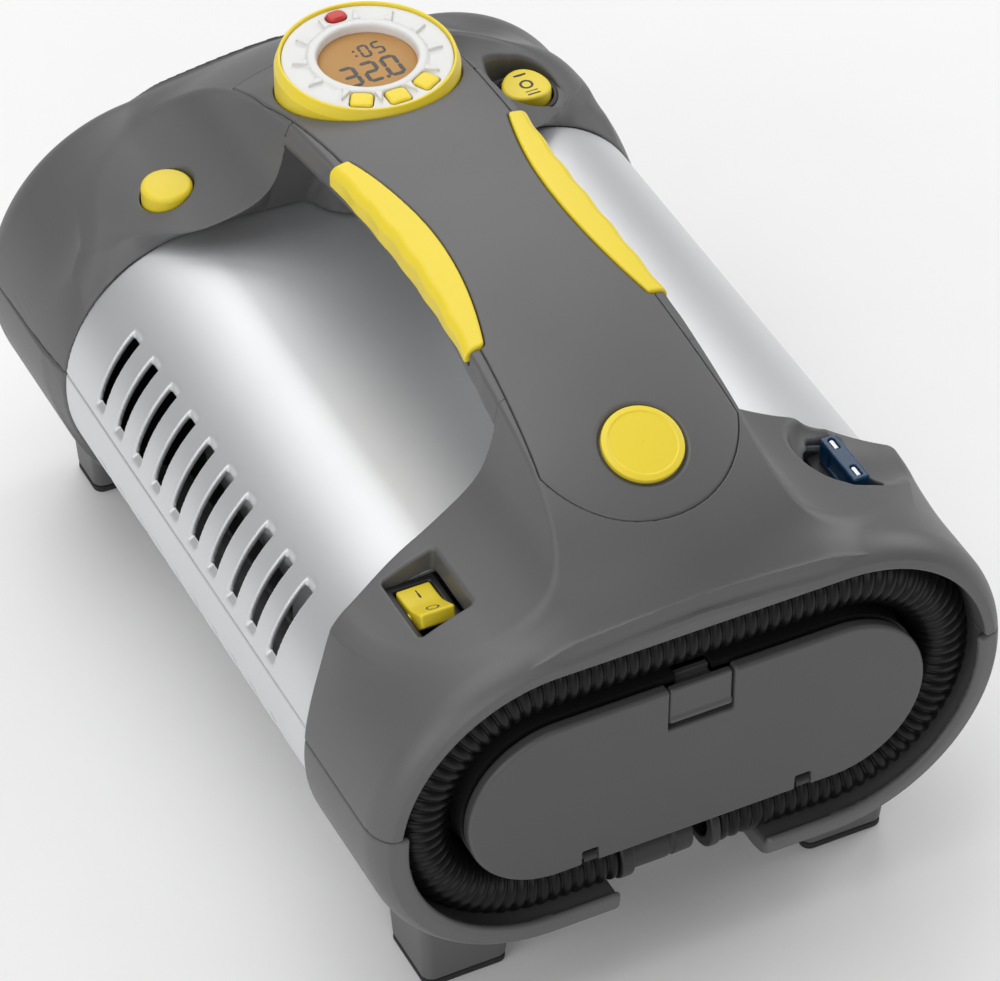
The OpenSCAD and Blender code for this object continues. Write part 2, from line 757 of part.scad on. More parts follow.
// Front rocker switch
power_z = [29, 43];
rocker_w = 10;
rocker_half = 8;
rocker_z = 41.2;
rocker_tilt = 16;
rocker_axle = [1.4, 6.8];
rocker_cavity = [10.6, 18.8];
rocker_room = 6;
module power_switch_body() {
    w = power_hole - [0.1, 0.1];
    color(black) place() translate([-power_x, front_sw_y, 0]) difference() {
        translate([0, 0, power_z[0]]) linear_extrude(power_z[1] - power_z[0]) square(w, center = true);
        translate([0, 0, rocker_z - rocker_room]) linear_extrude(far) square(rocker_cavity, center = true);
        rod_x(0, rocker_z, rocker_axle[0] + 0.05, -rocker_axle[1] - 0.2, rocker_axle[1] + 0.2);
    }
}
module power_rocker() {
    h = rocker_half;
    color(yellow) place() translate([-power_x, front_sw_y, rocker_z]) rotate([-rocker_tilt, 0, 0]) {
        translate([-rocker_w / 2, 0, 0]) rotate([90, 0, 90]) linear_extrude(rocker_w)
            polygon([[-h, 5.1], [0, 3.1], [h, 5.1], [h, 0.5], [3, -2.8], [-3, -2.8], [-h, 0.5]]);
        rod_x(0, 0, rocker_axle[0], -rocker_axle[1], rocker_axle[1]);
    }
}

// Rear three-position switch
mode_z = 45.2;
mode_body_z = [40.2, 47.2];
mode_rock = [7.2, 7.4];
mode_rock_z = [43.6, 50.3];
mode_axle = [1.3, 8.4];
mode_room = [0.5, 0.7];
mode_floor = 1.4;
module mode_oval(size) {
    half = size.y - size.x;
    square([2 * size.x, 2 * half], center = true);
    for (s = [-1, 1]) translate([0, s * half]) circle(size.x);
}
module mode_switch_body() {
    z = mode_body_z;
    color(black) place() translate([mode_x, rear_sw_y, 0]) difference() {
        translate([0, 0, z[0]]) linear_extrude(z[1] - z[0]) mode_oval(mode_cup - [0.05, 0.05]);
        translate([0, 0, z[0] + mode_floor]) linear_extrude(z[1] - z[0]) mode_oval(mode_rock + mode_room);
        rod_x(0, mode_z, mode_axle[0] + 0.05, -mode_axle[1] - 0.2, mode_axle[1] + 0.2);
    }
}
module mode_rocker() {
    color(yellow) place() translate([mode_x, rear_sw_y, 0]) {
        translate([0, 0, mode_rock_z[0]]) linear_extrude(mode_rock_z[1] - mode_rock_z[0]) mode_oval(mode_rock);
        rod_x(0, mode_z, mode_axle[0], -mode_axle[1], mode_axle[1]);
    }
}

// Rear push button
button_z = [42.5, 54];
push_switch_z = [27.5, 39.6];
module push_button() {
    color(yellow) place() rod_z(-push_x, rear_sw_y, button_r, button_z[0], button_z[1]);
}
module push_switch() {
    color(black) place() rod_z(-push_x, rear_sw_y, 6.5, push_switch_z[0], push_switch_z[1]);
}

// Fuse and its holder
fuse_body = [5.1, 19.1];
fuse_top = 47;
blade = [0.65, 5.2];
blade_y = 6.6;
blade_low = 28.5;
blade_gap = 0.3;
holder_z = [25, 39];
module fuse_holder() {
    color(black) place() translate([fuse_x, front_sw_y, 0]) difference() {
        translate([0, 0, holder_z[0]]) linear_extrude(holder_z[1] - holder_z[0])
            square(fuse_hole - [0.1, 0.1], center = true);
        translate([0, 0, blade_low - 1.5]) linear_extrude(far) blade_plan(blade_gap);
    }
}
module blade_plan(gap) {
    for (s = [-1, 1]) translate([0, s * blade_y]) square(blade + [2 * gap, 2 * gap], center = true);
}
module blade_fuse() {
    low = holder_z[1] + blade_gap;
    color("#1d3f78") place() translate([fuse_x, front_sw_y, 0]) {
        translate([0, 0, low]) linear_extrude(fuse_top - low) square(fuse_body, center = true);
        translate([0, 0, blade_low]) linear_extrude(low + 0.5 - blade_low) blade_plan(0);
    }
}

// Inner works: chassis, compressor on the left, blower on the right
inner_r = sleeve_r - sleeve_t;
plate_z = -37;
plate_t = 2.5;
deck_z = plate_z + plate_t;
module chassis_plate() {
    color(metal) place() {
        block([-60, 62, plate_z], [60, 206, deck_z]);
        for (x = [-44, 44], y = [70, 198]) rod_z(x, y, 4, -inner_r, plate_z + 0.1);
    }
}
pump_x = -44;
pump_z = -10;
motor_r = 19;
motor_y = [118, 178];
shaft_r = 2.5;
module compressor_motor() {
    color(metal) place() difference() {
        rod_y(pump_x, pump_z, motor_r, motor_y[0], motor_y[1]);
        rod_y(pump_x, pump_z, shaft_r + 0.05, motor_y[1] - 20, motor_y[1] + 1);
    }
}
module motor_saddle() {
    color(black) place() difference() {
        block([pump_x - 15, 130, deck_z], [pump_x + 15, 166, pump_z - 8]);
        rod_y(pump_x, pump_z, motor_r + 0.02, 120, 170);
    }
}
fan_y = [184, 194];
module motor_shaft() {
    color(metal) place() rod_y(pump_x, pump_z, shaft_r, motor_y[1] - 19, fan_y[1] + 1);
}
module cooling_fan() {
    color(black) place() difference() {
        union() {
            rod_y(pump_x, pump_z, 7, fan_y[0], fan_y[1]);
            for (k = [0 : 6]) translate([pump_x, fan_y[0] + 1, pump_z]) rotate([0, 51.4 * k, 0])
                translate([5, 0, 0]) rotate([28, 0, 0]) cube([14, 1.6, 7]);
        }
        rod_y(pump_x, pump_z, shaft_r, fan_y[0] - 5, fan_y[1] + 5);
    }
}
gear_y0 = 96;
gear_top = 12;
module gear_case() {
    color(metal) place() block([pump_x - 20, gear_y0, deck_z], [pump_x + 20, motor_y[0], gear_top]);
}
cyl_y = 107;
module pump_cylinder() {
    color(metal) place() {
        rod_z(pump_x, cyl_y, 9.5, gear_top, 32);
        for (k = [0 : 4]) rod_z(pump_x, cyl_y, 14, gear_top + 2 + 3.6 * k, gear_top + 3.8 + 3.6 * k);
    }
}
module cylinder_head() {
    color(metal) place() rod_z(pump_x, cyl_y, 14, 32, 38.5);
}
blow_x = 44;
blow_r = 31;
blow_z = deck_z + blow_r;
volute_y = [96, 136];
volute_wall = 2.5;
module blower_volute() {
    color(casing_dark) place() difference() {
        rod_y(blow_x, blow_z, blow_r, volute_y[0], volute_y[1]);
        rod_y(blow_x, blow_z, blow_r - volute_wall, volute_y[0] - 1, volute_y[1] - volute_wall);
        rod_y(blow_x, blow_z, 5, 90, 150);
    }
}
module blower_cover() {
    color(casing_dark) place() difference() {
        rod_y(blow_x, blow_z, blow_r, volute_y[0] - 2.5, volute_y[0]);
        rod_y(blow_x, blow_z, 15, 80, 110);
    }
}
module blower_impeller() {
    color(yellow) place() difference() {
        union() {
            rod_y(blow_x, blow_z, 26, 127, 129.5);
            rod_y(blow_x, blow_z, 7, 108, 129);
            for (k = [0 : 8]) translate([blow_x, 104, blow_z]) rotate([0, 40 * k, 0])
                translate([13, 0, -0.8]) cube([12.5, 23.5, 1.6]);
        }
        rod_y(blow_x, blow_z, shaft_r, 90, 140);
    }
}
module blower_shaft() {
    color(metal) place() rod_y(blow_x, blow_z, shaft_r, 107, 155);
}
module blower_motor() {
    color(metal) place() difference() {
        rod_y(blow_x, blow_z, 18, volute_y[1], 186);
        rod_y(blow_x, blow_z, shaft_r + 0.05, volute_y[1] - 1, 157);
    }
}
board_y = 238;
board_t = 1.6;
module control_board() {
    color(board) place() block([-52, board_y, -30], [52, board_y + board_t, 30]);
}
module board_posts() {
    color(black) place() for (x = [-46, 46], z = [-25, 25])
        rod_y(x, z, 3.5, board_y + board_t, body_len - rear_wall);
}
module cord_gland() {
    color(black) place() difference() {
        rod_y(0, gland_z, gland_r, body_len - 6, body_len - 0.5);
        rod_y(0, gland_z, 3.6, body_len - 10, body_len + 5);
    }
}
module case_screws() {
    color(metal) place() for (s = [-1, 1]) {
        rod_y(s * screw_x, -screw_z, 3.6, body_len - 1.8, body_len - 0.2);
        rod_y(s * screw_x, -screw_z, 2, body_len - 9, body_len - 1.7);
    }
}

echo(hose_length = hose_len, hose_ribs = hose_ribs, rib_pitch = 2 * rib_step);

upper_front_cap();
lower_front_cap();
upper_rear_cap();
lower_rear_cap();
upper_sleeve();
lower_sleeve();
base_tray();
foot_pads();
handle_beam();
handle_cover();
grip_left();
grip_right();
badge_disc();
front_bulkhead();
accessory_bin();
bin_door();
door_hinge_pin();
door_latch();
air_hose();
hose_cuff();
hose_end_ring();
gauge_bezel();
gauge_face();
lcd_panel();
lcd_lens();
gauge_pcb();
tact_switches();
gauge_button_left();
gauge_button_middle();
gauge_button_right();
stop_button();
power_switch_body();
power_rocker();
mode_switch_body();
mode_rocker();
push_button();
push_switch();
fuse_holder();
blade_fuse();
chassis_plate();
motor_saddle();
compressor_motor();
motor_shaft();
cooling_fan();
gear_case();
pump_cylinder();
cylinder_head();
blower_volute();
blower_cover();
blower_impeller();
blower_shaft();
blower_motor();
control_board();
board_posts();
cord_gland();
case_screws();
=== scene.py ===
# Looks of a twin-barrel portable air inflator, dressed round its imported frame
import json
import math

import bpy
import numpy as np
from mathutils import Matrix, Vector


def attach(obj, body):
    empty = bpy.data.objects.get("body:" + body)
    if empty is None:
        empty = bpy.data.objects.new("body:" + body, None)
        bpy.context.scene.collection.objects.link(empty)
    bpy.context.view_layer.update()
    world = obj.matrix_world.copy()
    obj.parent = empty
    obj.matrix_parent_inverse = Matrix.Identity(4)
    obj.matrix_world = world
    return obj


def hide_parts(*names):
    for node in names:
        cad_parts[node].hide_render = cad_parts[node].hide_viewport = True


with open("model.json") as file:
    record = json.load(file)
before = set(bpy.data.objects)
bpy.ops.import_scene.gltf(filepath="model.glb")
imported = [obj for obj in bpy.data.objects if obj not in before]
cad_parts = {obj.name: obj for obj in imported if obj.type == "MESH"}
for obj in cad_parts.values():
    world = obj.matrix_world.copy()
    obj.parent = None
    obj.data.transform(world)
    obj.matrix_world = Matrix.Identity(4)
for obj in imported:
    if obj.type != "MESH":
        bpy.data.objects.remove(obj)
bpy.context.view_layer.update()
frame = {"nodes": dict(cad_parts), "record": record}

# Sizes are in millimetres, measured from the middle of the front plane at the
# middle of the barrels: x to the right, y to the rear, z up
MM = 0.001
BODY_LEN = 266.0
PART_Z = 76.0

# Section of the end caps, and the level at which the casing is split
CAP_A = 94.0
CAP_R = 52.0
RIM_IN = 6.0
RIM_LONG = 9.5
SPLIT_Z = 6.0
SEAM = 0.3

# Ridge that carries the handle
CREST_Y = 121.0
CREST_LOW = 46.5
CREST_RISE = 48.0
CREST_RUN = (119.0, 147.0)
CREST_POWER = (2, 1.9)
SWELL = 1.6
SWELL_Y = (135, 170, 185, 225)
TAIL_DROP = 1.5
TAIL_Y = (212, 232)
HILL_POWER = (1.65, 0.65)
HILL_FULL_Y = (5, 45, 202, 262)

# Hollowed flanks beside the ridge
FLANK_LEVEL = 65.3
FLANK_FALL = 0.33
FLANK_BEND = 83.0
FLANK_WALL_X = 26.5
FLANK_EDGE = 1.2
FLANK_SOFT = 7.0
FLANK_SOFT_X = (62, 82)

# Right hollow, filled behind the rear rocker, and the pod round that rocker
FILL = 16.0
FILL_X = (20, 30)
FILL_Y = (218, 254)
POD_AT = (58.0, 230.0, 36.0)
POD_R = (22.0, 22.0, 15.0)
POD_REACH = 6.0

# Edges of the caps over the sleeve
SHARP_EDGE = 0.15
FRONT_EDGE_IN = 16.0
FRONT_EDGE_X = (36.0, 94.0)
REAR_FOOT_Y = 205.5
REAR_FOOT_BACK = 3.0
REAR_FOOT_X = 50.0
BRINK_SLOPE = 0.4
BRINK_MOST = 18.0
BRINK_SOFT = 6.0
BRINK_TURN = 11.0
BRINK_TURN_X = (50, 80)
BRINK_TOP = 88.0

# Hollows for the hose and for the sleeve
CHANNEL = (87.0, 45.0)
CHANNEL_END = 43.5
LAP = (92.2, 44.2)
REAR_ROOM = (88.0, 45.0)
REAR_ROOM_END = 262.0
SLEEVE = (92.0, 44.0)
SLEEVE_T = 2.0
SLEEVE_Y = (44.5, 209.5)

# Handle with its cover, and the hand gap
HANDLE_X = 29.2
HANDLE_T = 13.5
HANDLE_TOP = 96.0
HANDLE_WAIST = (27.2, 442.0)
HANDLE_FLARE = 2.5
HANDLE_FLARE_Y = (45, 59)
COVER_X = 29.0
COVER_T = 8.0
COVER_WAIST = (24.5, 800.0)
COVER_GAP = 0.1
COVER_FRONT = (48.7, 30.7)
COVER_REAR = (138.0, 95.0)
GAP_Y = (62.0, 190.0)
GRIP_Y = (79.5, 162.5)
GRIP_X = (17.0, 31.0)
GRIP_Z = 85.0
GRIP_BOW = (158.0, 140.0)

# Controls
POWER_X, POWER_Y = -59.9, 40.9
POWER_HOLE = (7.6, 11.7)
FUSE_X, FUSE_Y = 64.0, 40.9
FUSE_HOLE = (5.5, 12.5)
PUSH_X, PUSH_Y = -53.7, 220.2
PUSH_HOLE_R = 7.8
MODE_X, MODE_Y = 59.3, 220.2
MODE_HOLE_R = 9.0
GAUGE_Y = 200.9
GAUGE_Z = 93.5
GAUGE_LOW = 79.5
BEZEL_R = 26.0
BEZEL_BORE_R = 22.5
FACE_R = 24.0
FACE_LOW = 83.6
LCD_R = 14.1
LCD_Z = 90.8
INK_Z = 90.5
KEY_RING_R = 19.6
KEY_HALF = (2.85, 3.15)
KEY_LOW = 85.5
STOP_RING_R = 20.4
STOP_HALF = (2.05, 2.85)
KEY_ANGLES = {"left": 240, "middle": 270, "right": 300}
STOP_ANGLE = 90


# Distance fields: negative inside a solid, in millimetres

class Grid:
    """Sample points over a box."""

    def __init__(self, low, high, cell):
        self.cell = cell
        self.low = np.array(low, np.float32) - 2 * cell
        counts = np.ceil((np.array(high) - np.array(low)) / cell).astype(int) + 5
        lines = [self.low[i] + cell * np.arange(counts[i], dtype=np.float32) for i in range(3)]
        self.x = lines[0][:, None, None]
        self.y = lines[1][None, :, None]
        self.z = lines[2][None, None, :]
        self.shape = tuple(counts)


def both(a, b, r=0.0):
    """What two solids share, with its new edges rounded by r."""
    inner = np.minimum(-r, np.maximum(a, b))
    return inner + np.hypot(np.maximum(a + r, 0), np.maximum(b + r, 0))


def either(a, b, r=0.0):
    """Two solids joined, with a fillet of r where they meet."""
    return -both(-a, -b, r)


def less(a, b, r=0.0):
    """One solid with another cut from it, the cut's edges rounded by r."""
    return both(a, -b, r)


def melt(a, b, reach):
    """Two solids joined by a soft valley."""
    near = np.maximum(reach - np.abs(a - b), 0) / reach
    return np.minimum(a, b) - near * near * reach / 4


def slab(t, low, high):
    return np.maximum(low - t, t - high)


def stadium(x, z, a, r):
    """A section with round ends: half width a, radius r."""
    return np.hypot(np.maximum(np.abs(x) - (a - r), 0), z) - r


def rounded_box(u, v, half_u, half_v, r):
    over_u = np.abs(u) - half_u + r
    over_v = np.abs(v) - half_v + r
    outside = np.hypot(np.maximum(over_u, 0), np.maximum(over_v, 0))
    return outside + np.minimum(np.maximum(over_u, over_v), 0) - r


def ellipsoid(x, y, z, rx, ry, rz):
    near = np.sqrt((x / rx) ** 2 + (y / ry) ** 2 + (z / rz) ** 2)
    slope = np.sqrt((x / rx**2) ** 2 + (y / ry**2) ** 2 + (z / rz**2) ** 2)
    return near * (near - 1) / np.maximum(slope, 1e-6)


def steepness(field, cell):
    """How fast a field changes per millimetre."""
    square = np.zeros((1, 1, 1), np.float32)
    for axis in range(3):
        if field.shape[axis] > 1:
            square = square + np.gradient(field, cell, axis=axis) ** 2
    return np.sqrt(square)


def above(z, height, cell):
    """Distance over a surface that is given by its height."""
    return (z - height) / np.sqrt(1 + steepness(height, cell) ** 2)


def ease(t):
    t = np.clip(t, 0, 1)
    return t * t * (3 - 2 * t)


def fade(t, start, end):
    """From 0 at the start to 1 at the end."""
    return ease((t - start) / (end - start))


def hump(t, start, full, fall, end):
    """From 0 up to 1 and back to 0."""
    return fade(t, start, full) * fade(t, end, fall)


def quarter(t, power):
    """Quarter of a superellipse: 1 at 0, down to 0 at 1."""
    return np.maximum(1 - np.minimum(t, 1) ** power, 0) ** (1 / power)


# Meshing: one point in each cell that the surface passes through

CORNERS = np.array([(i, j, k) for i in (0, 1) for j in (0, 1) for k in (0, 1)])
EDGES = [(a, b) for a in range(8) for b in range(a + 1, 8) if np.abs(CORNERS[a] - CORNERS[b]).sum() == 1]


def surface_cells(field):
    """Cells crossed by the surface, and the field at the corners of each."""
    inside = field < 0
    nx, ny, nz = (n - 1 for n in field.shape)
    count = np.zeros((nx, ny, nz), np.int8)
    for i, j, k in CORNERS:
        count += inside[i:i + nx, j:j + ny, k:k + nz]
    cells = np.argwhere((count > 0) & (count < 8))
    values = np.stack([field[tuple((cells + corner).T)] for corner in CORNERS], 1)
    return inside, cells, values, count.shape


def cell_points(values):
    """The middle of the edge crossings in each cell, from 0 to 1 each way."""
    total = np.zeros((len(values), 3))
    hits = np.zeros((len(values), 1))
    for a, b in EDGES:
        start, end = values[:, a], values[:, b]
        crossed = (start < 0) != (end < 0)
        step = np.where(crossed, start / np.where(crossed, start - end, 1), 0)
        total += crossed[:, None] * (CORNERS[a] + step[:, None] * (CORNERS[b] - CORNERS[a]))
        hits += crossed[:, None]
    return total / hits


def cell_normals(values, local):
    """Direction in which the field grows at each point."""
    box = values.reshape(-1, 2, 2, 2)
    weight = [np.stack([1 - local[:, i], local[:, i]], 1) for i in range(3)]
    along_x = np.einsum("njk,nj,nk->n", box[:, 1] - box[:, 0], weight[1], weight[2])
    along_y = np.einsum("nik,ni,nk->n", box[:, :, 1] - box[:, :, 0], weight[0], weight[2])
    along_z = np.einsum("nij,ni,nj->n", box[:, :, :, 1] - box[:, :, :, 0], weight[0], weight[1])
    normals = np.stack([along_x, along_y, along_z], 1)
    return normals / np.maximum(np.linalg.norm(normals, axis=1, keepdims=True), 1e-9)


def cell_faces(inside, cells, shape):
    """A four-cornered face round each grid edge that the surface crosses."""
    index = np.full(shape, -1, np.int32)
    index[tuple(cells.T)] = np.arange(len(cells))
    faces = []
    for axis in range(3):
        u, v = [(1, 2), (2, 0), (0, 1)][axis]
        low = np.take(inside, range(inside.shape[axis] - 1), axis)
        high = np.take(inside, range(1, inside.shape[axis]), axis)
        spots = np.argwhere(low != high)
        fits = (spots[:, u] > 0) & (spots[:, v] > 0)
        fits &= (spots[:, u] < shape[u]) & (spots[:, v] < shape[v])
        spots = spots[fits]
        step_u = np.eye(3, dtype=int)[u]
        step_v = np.eye(3, dtype=int)[v]
        ring = [spots - step_u - step_v, spots - step_v, spots, spots - step_u]
        quads = np.stack([index[tuple(corner.T)] for corner in ring], 1)
        leaves = low[tuple(spots.T)]
        faces.append(np.where(leaves[:, None], quads, quads[:, ::-1]))
    return np.concatenate(faces)


def to_frame(points):
    return (np.asarray(points, float) + (0, -BODY_LEN / 2, PART_Z)) * MM


def mesh_object(name, points, faces, normals=None):
    """An object from points in millimetres and four-cornered faces."""
    faces = np.asarray(faces, np.int32)
    mesh = bpy.data.meshes.new(name)
    mesh.vertices.add(len(points))
    mesh.vertices.foreach_set("co", to_frame(points).ravel())
    mesh.loops.add(faces.size)
    mesh.loops.foreach_set("vertex_index", faces.ravel())
    mesh.polygons.add(len(faces))
    mesh.polygons.foreach_set("loop_start", np.arange(0, faces.size, faces.shape[1], dtype=np.int32))
    mesh.update(calc_edges=True)
    mesh.validate()
    mesh.shade_smooth()
    if normals is not None:
        mesh.normals_split_custom_set_from_vertices(normals.tolist())
    obj = bpy.data.objects.new(name, mesh)
    bpy.context.scene.collection.objects.link(obj)
    return obj


def solid(name, grid, field):
    """An object from a distance field."""
    field = np.broadcast_to(field, grid.shape)
    inside, cells, values, shape = surface_cells(field)
    local = cell_points(values)
    points = grid.low + grid.cell * (cells + local)
    return mesh_object(name, points, cell_faces(inside, cells, shape), cell_normals(values, local))


def soften(corners, r, steps=5):
    """A closed outline with each corner rounded by r, or by less where it is tight."""
    corners = [Vector(c) for c in corners]
    outline = []
    for i, here in enumerate(corners):
        before = corners[i - 1] - here
        after = corners[(i + 1) % len(corners)] - here
        turn = before.angle(after)
        reach = min(r / math.tan(turn / 2), before.length * 0.45, after.length * 0.45)
        start = here + before.normalized() * reach
        end = here + after.normalized() * reach
        for k in range(steps + 1):
            t = k / steps
            outline.append((1 - t) ** 2 * start + 2 * t * (1 - t) * here + t * t * end)
    return outline


def tube_faces(rows, sides):
    """Faces between rows of points that close both ways."""
    row = np.arange(rows)[:, None] * sides
    col = np.arange(sides)
    next_row, next_col = np.roll(row, -1, axis=0), np.roll(col, -1)
    return np.stack([row + col, row + next_col, next_row + next_col, next_row + col], 2).reshape(-1, 4)


def lathe(name, outline, centre, axis="z", tilt=0.0, sides=96):
    """A closed outline of (radius, height) points turned round an axis."""
    turns = np.linspace(0, 2 * math.pi, sides, endpoint=False)
    radius = np.array([p[0] for p in outline])[:, None]
    height = np.array([p[1] for p in outline])[:, None] + 0 * turns
    across = radius * np.cos(turns)
    aside = radius * np.sin(turns)
    order = {"z": (across, aside, height), "x": (height, across, aside), "y": (aside, height, across)}[axis]
    points = np.stack(order, 2).reshape(-1, 3)
    points = points @ np.array(Matrix.Rotation(tilt, 3, "X")).T + np.array(centre)
    return mesh_object(name, points, tube_faces(len(outline), sides))


# Finishes

def link(tree, source, target):
    tree.links.new(source, target)


def noise_node(tree, where, size, detail):
    """A noise whose lumps are about that many millimetres across."""
    noise = tree.nodes.new("ShaderNodeTexNoise")
    noise.inputs["Scale"].default_value = 1 / (size * MM)
    noise.inputs["Detail"].default_value = detail
    link(tree, where.outputs["Object"], noise.inputs["Vector"])
    return noise


def finish(name, colour, rough, grain, depth, cloud=0.06, gloss_change=0.06, **sockets):
    """A moulded, cast or painted surface with a fine grain and slow changes of tone and gloss."""
    material = bpy.data.materials.new(name)
    material.use_nodes = True
    tree = material.node_tree
    shader = tree.nodes["Principled BSDF"]
    where = tree.nodes.new("ShaderNodeTexCoord")
    slow = noise_node(tree, where, 25, 4)
    fine = noise_node(tree, where, grain, 3)

    tone = tree.nodes.new("ShaderNodeMix")
    tone.data_type = "RGBA"
    tone.inputs[6].default_value = (*[c * (1 - cloud) for c in colour], 1)
    tone.inputs[7].default_value = (*[min(c * (1 + cloud), 1) for c in colour], 1)
    link(tree, slow.outputs["Fac"], tone.inputs["Factor"])
    link(tree, tone.outputs[2], shader.inputs["Base Color"])

    gloss = tree.nodes.new("ShaderNodeMapRange")
    gloss.inputs["To Min"].default_value = rough - gloss_change
    gloss.inputs["To Max"].default_value = rough + gloss_change
    link(tree, fine.outputs["Fac"], gloss.inputs["Value"])
    link(tree, gloss.outputs["Result"], shader.inputs["Roughness"])

    bump = tree.nodes.new("ShaderNodeBump")
    bump.inputs["Strength"].default_value = 0.6
    bump.inputs["Distance"].default_value = depth * MM
    link(tree, fine.outputs["Fac"], bump.inputs["Height"])
    link(tree, bump.outputs["Normal"], shader.inputs["Normal"])

    for socket, value in sockets.items():
        shader.inputs[socket.replace("_", " ")].default_value = value
    return material


# Grain and depth are in millimetres, and words with a capital are shader settings
LOOKS = {
    "casing_grey": dict(colour=(0.105, 0.105, 0.108), rough=0.44, grain=0.45, depth=0.03),
    "door_grey": dict(colour=(0.075, 0.075, 0.078), rough=0.42, grain=0.45, depth=0.03),
    "silver": dict(colour=(0.70, 0.71, 0.72), rough=0.46, grain=0.2, depth=0.012,
                   cloud=0.03, Metallic=0.75),
    "silver_plastic": dict(colour=(0.62, 0.63, 0.64), rough=0.4, grain=0.25, depth=0.015,
                           cloud=0.03, Metallic=0.4),
    "yellow": dict(colour=(0.82, 0.64, 0.035), rough=0.42, grain=0.5, depth=0.012, cloud=0.03),
    "black_plastic": dict(colour=(0.014, 0.014, 0.015), rough=0.42, grain=0.4, depth=0.025),
    "hose_black": dict(colour=(0.005, 0.005, 0.006), rough=0.36, grain=0.35,
                       depth=0.015, Specular_IOR_Level=0.2),
    "rubber_black": dict(colour=(0.018, 0.018, 0.018), rough=0.7, grain=0.5, depth=0.06),
    "gauge_white": dict(colour=(0.70, 0.70, 0.69), rough=0.36, grain=0.4, depth=0.01, cloud=0.02),
    "display_amber": dict(colour=(0.46, 0.24, 0.065), rough=0.5, grain=0.3, depth=0.005,
                          cloud=0.15, Specular_IOR_Level=0.2),
    "display_lens": dict(colour=(0.92, 0.88, 0.8), rough=0.12, grain=0.5, depth=0.002, cloud=0.02,
                         Alpha=0.02, Specular_IOR_Level=0.1),
    "stop_red": dict(colour=(0.52, 0.03, 0.025), rough=0.34, grain=0.4, depth=0.012, cloud=0.03),
    "fuse_blue": dict(colour=(0.012, 0.07, 0.17), rough=0.16, grain=0.6, depth=0.006, cloud=0.08,
                      gloss_change=0.04, Transmission_Weight=0.45),
    "board_green": dict(colour=(0.03, 0.15, 0.05), rough=0.4, grain=0.3, depth=0.02),
    "steel": dict(colour=(0.55, 0.56, 0.57), rough=0.3, grain=0.2, depth=0.015, Metallic=1.0),
    "cast_alloy": dict(colour=(0.6, 0.61, 0.62), rough=0.45, grain=0.5, depth=0.05, Metallic=1.0),
    "blower_plastic": dict(colour=(0.05, 0.05, 0.055), rough=0.5, grain=0.4, depth=0.03),
}
FINISHES = {name: finish(name, **look) for name, look in LOOKS.items()}

BODY_OF = {node: body for body, nodes in frame["record"]["behaviour"]["bodies"].items() for node in nodes}
SLOT_OF = {part["node"]: part["material_slot"] for part in frame["record"]["subparts"]}

for node, obj in frame["nodes"].items():
    obj.data.materials.clear()
    obj.data.materials.append(FINISHES[SLOT_OF[node]])


def dress(obj, node, slot=None):
    """Puts a piece in the place of a CAD node."""
    add(obj, node, slot)
    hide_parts(node)


def add(obj, node, slot=None):
    """Lets a piece ride with a CAD node, beside it."""
    slot = slot or SLOT_OF[node]
    obj.data.materials.append(FINISHES[slot])
    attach(obj, BODY_OF[node])


def dress_all(*makers):
    """Makes pieces, each for the CAD node that its function is named after."""
    for make in makers:
        dress(make(), make.__name__)


# Camera at the photograph's viewing angle

FOCAL_PX = 5409.9
IMAGE_W = 1000
VIEW_AZ = math.radians(-26.75)
VIEW_EL = math.radians(41.74)
VIEW_ROLL = math.radians(0.30)
VIEW_DISTANCE = 1424.2
VIEW_ASIDE = -52.77
VIEW_UP = 69.35


def make_camera():
    level = math.cos(VIEW_EL)
    back = Vector((math.sin(VIEW_AZ) * level, -math.cos(VIEW_AZ) * level, math.sin(VIEW_EL)))
    right = Vector((math.cos(VIEW_AZ), math.sin(VIEW_AZ), 0))
    up = back.cross(right)
    turned_right = math.cos(VIEW_ROLL) * right + math.sin(VIEW_ROLL) * up
    turned_up = math.cos(VIEW_ROLL) * up - math.sin(VIEW_ROLL) * right
    place = VIEW_DISTANCE * back + VIEW_ASIDE * turned_right + VIEW_UP * turned_up
    camera = bpy.data.cameras.new("camera")
    camera.sensor_fit = "HORIZONTAL"
    camera.sensor_width = 36
    camera.lens = FOCAL_PX * camera.sensor_width / IMAGE_W
    camera.clip_start = 0.05
    obj = bpy.data.objects.new("camera", camera)
    obj.matrix_world = Matrix((turned_right, turned_up, back)).transposed().to_4x4()
    obj.matrix_world.translation = Vector(to_frame(place))
    bpy.context.scene.collection.objects.link(obj)
    bpy.context.scene.camera = obj


make_camera()


# End caps

def inset(y):
    """How far the rounded rims draw the caps in near the two ends."""
    t = np.clip((RIM_LONG - np.minimum(y, BODY_LEN - y)) / RIM_LONG, 0, 1)
    return RIM_IN * (1 - np.sqrt(1 - t * t))


def barrels(g):
    rim = inset(g.y)
    return (stadium(g.x, g.z, CAP_A, CAP_R) + rim) / np.sqrt(1 + steepness(rim, g.cell) ** 2)


def crest(y):
    """Height of the ridge along its middle, with a swell and a drop near the gauge."""
    front = quarter((CREST_Y - y) / CREST_RUN[0], CREST_POWER[0])
    rear = quarter(np.maximum(y - CREST_Y, 0) / CREST_RUN[1], CREST_POWER[1])
    change = SWELL * hump(y, *SWELL_Y) - TAIL_DROP * fade(y, *TAIL_Y)
    return CREST_LOW + change + CREST_RISE * np.where(y < CREST_Y, front, rear)


def hill_height(x, y):
    """Height of the ridge with its slopes, fuller between the ends."""
    power = HILL_POWER[0] + HILL_POWER[1] * hump(y, *HILL_FULL_Y)
    return crest(y) * quarter(np.abs(x) / (CAP_A - inset(y)), power)


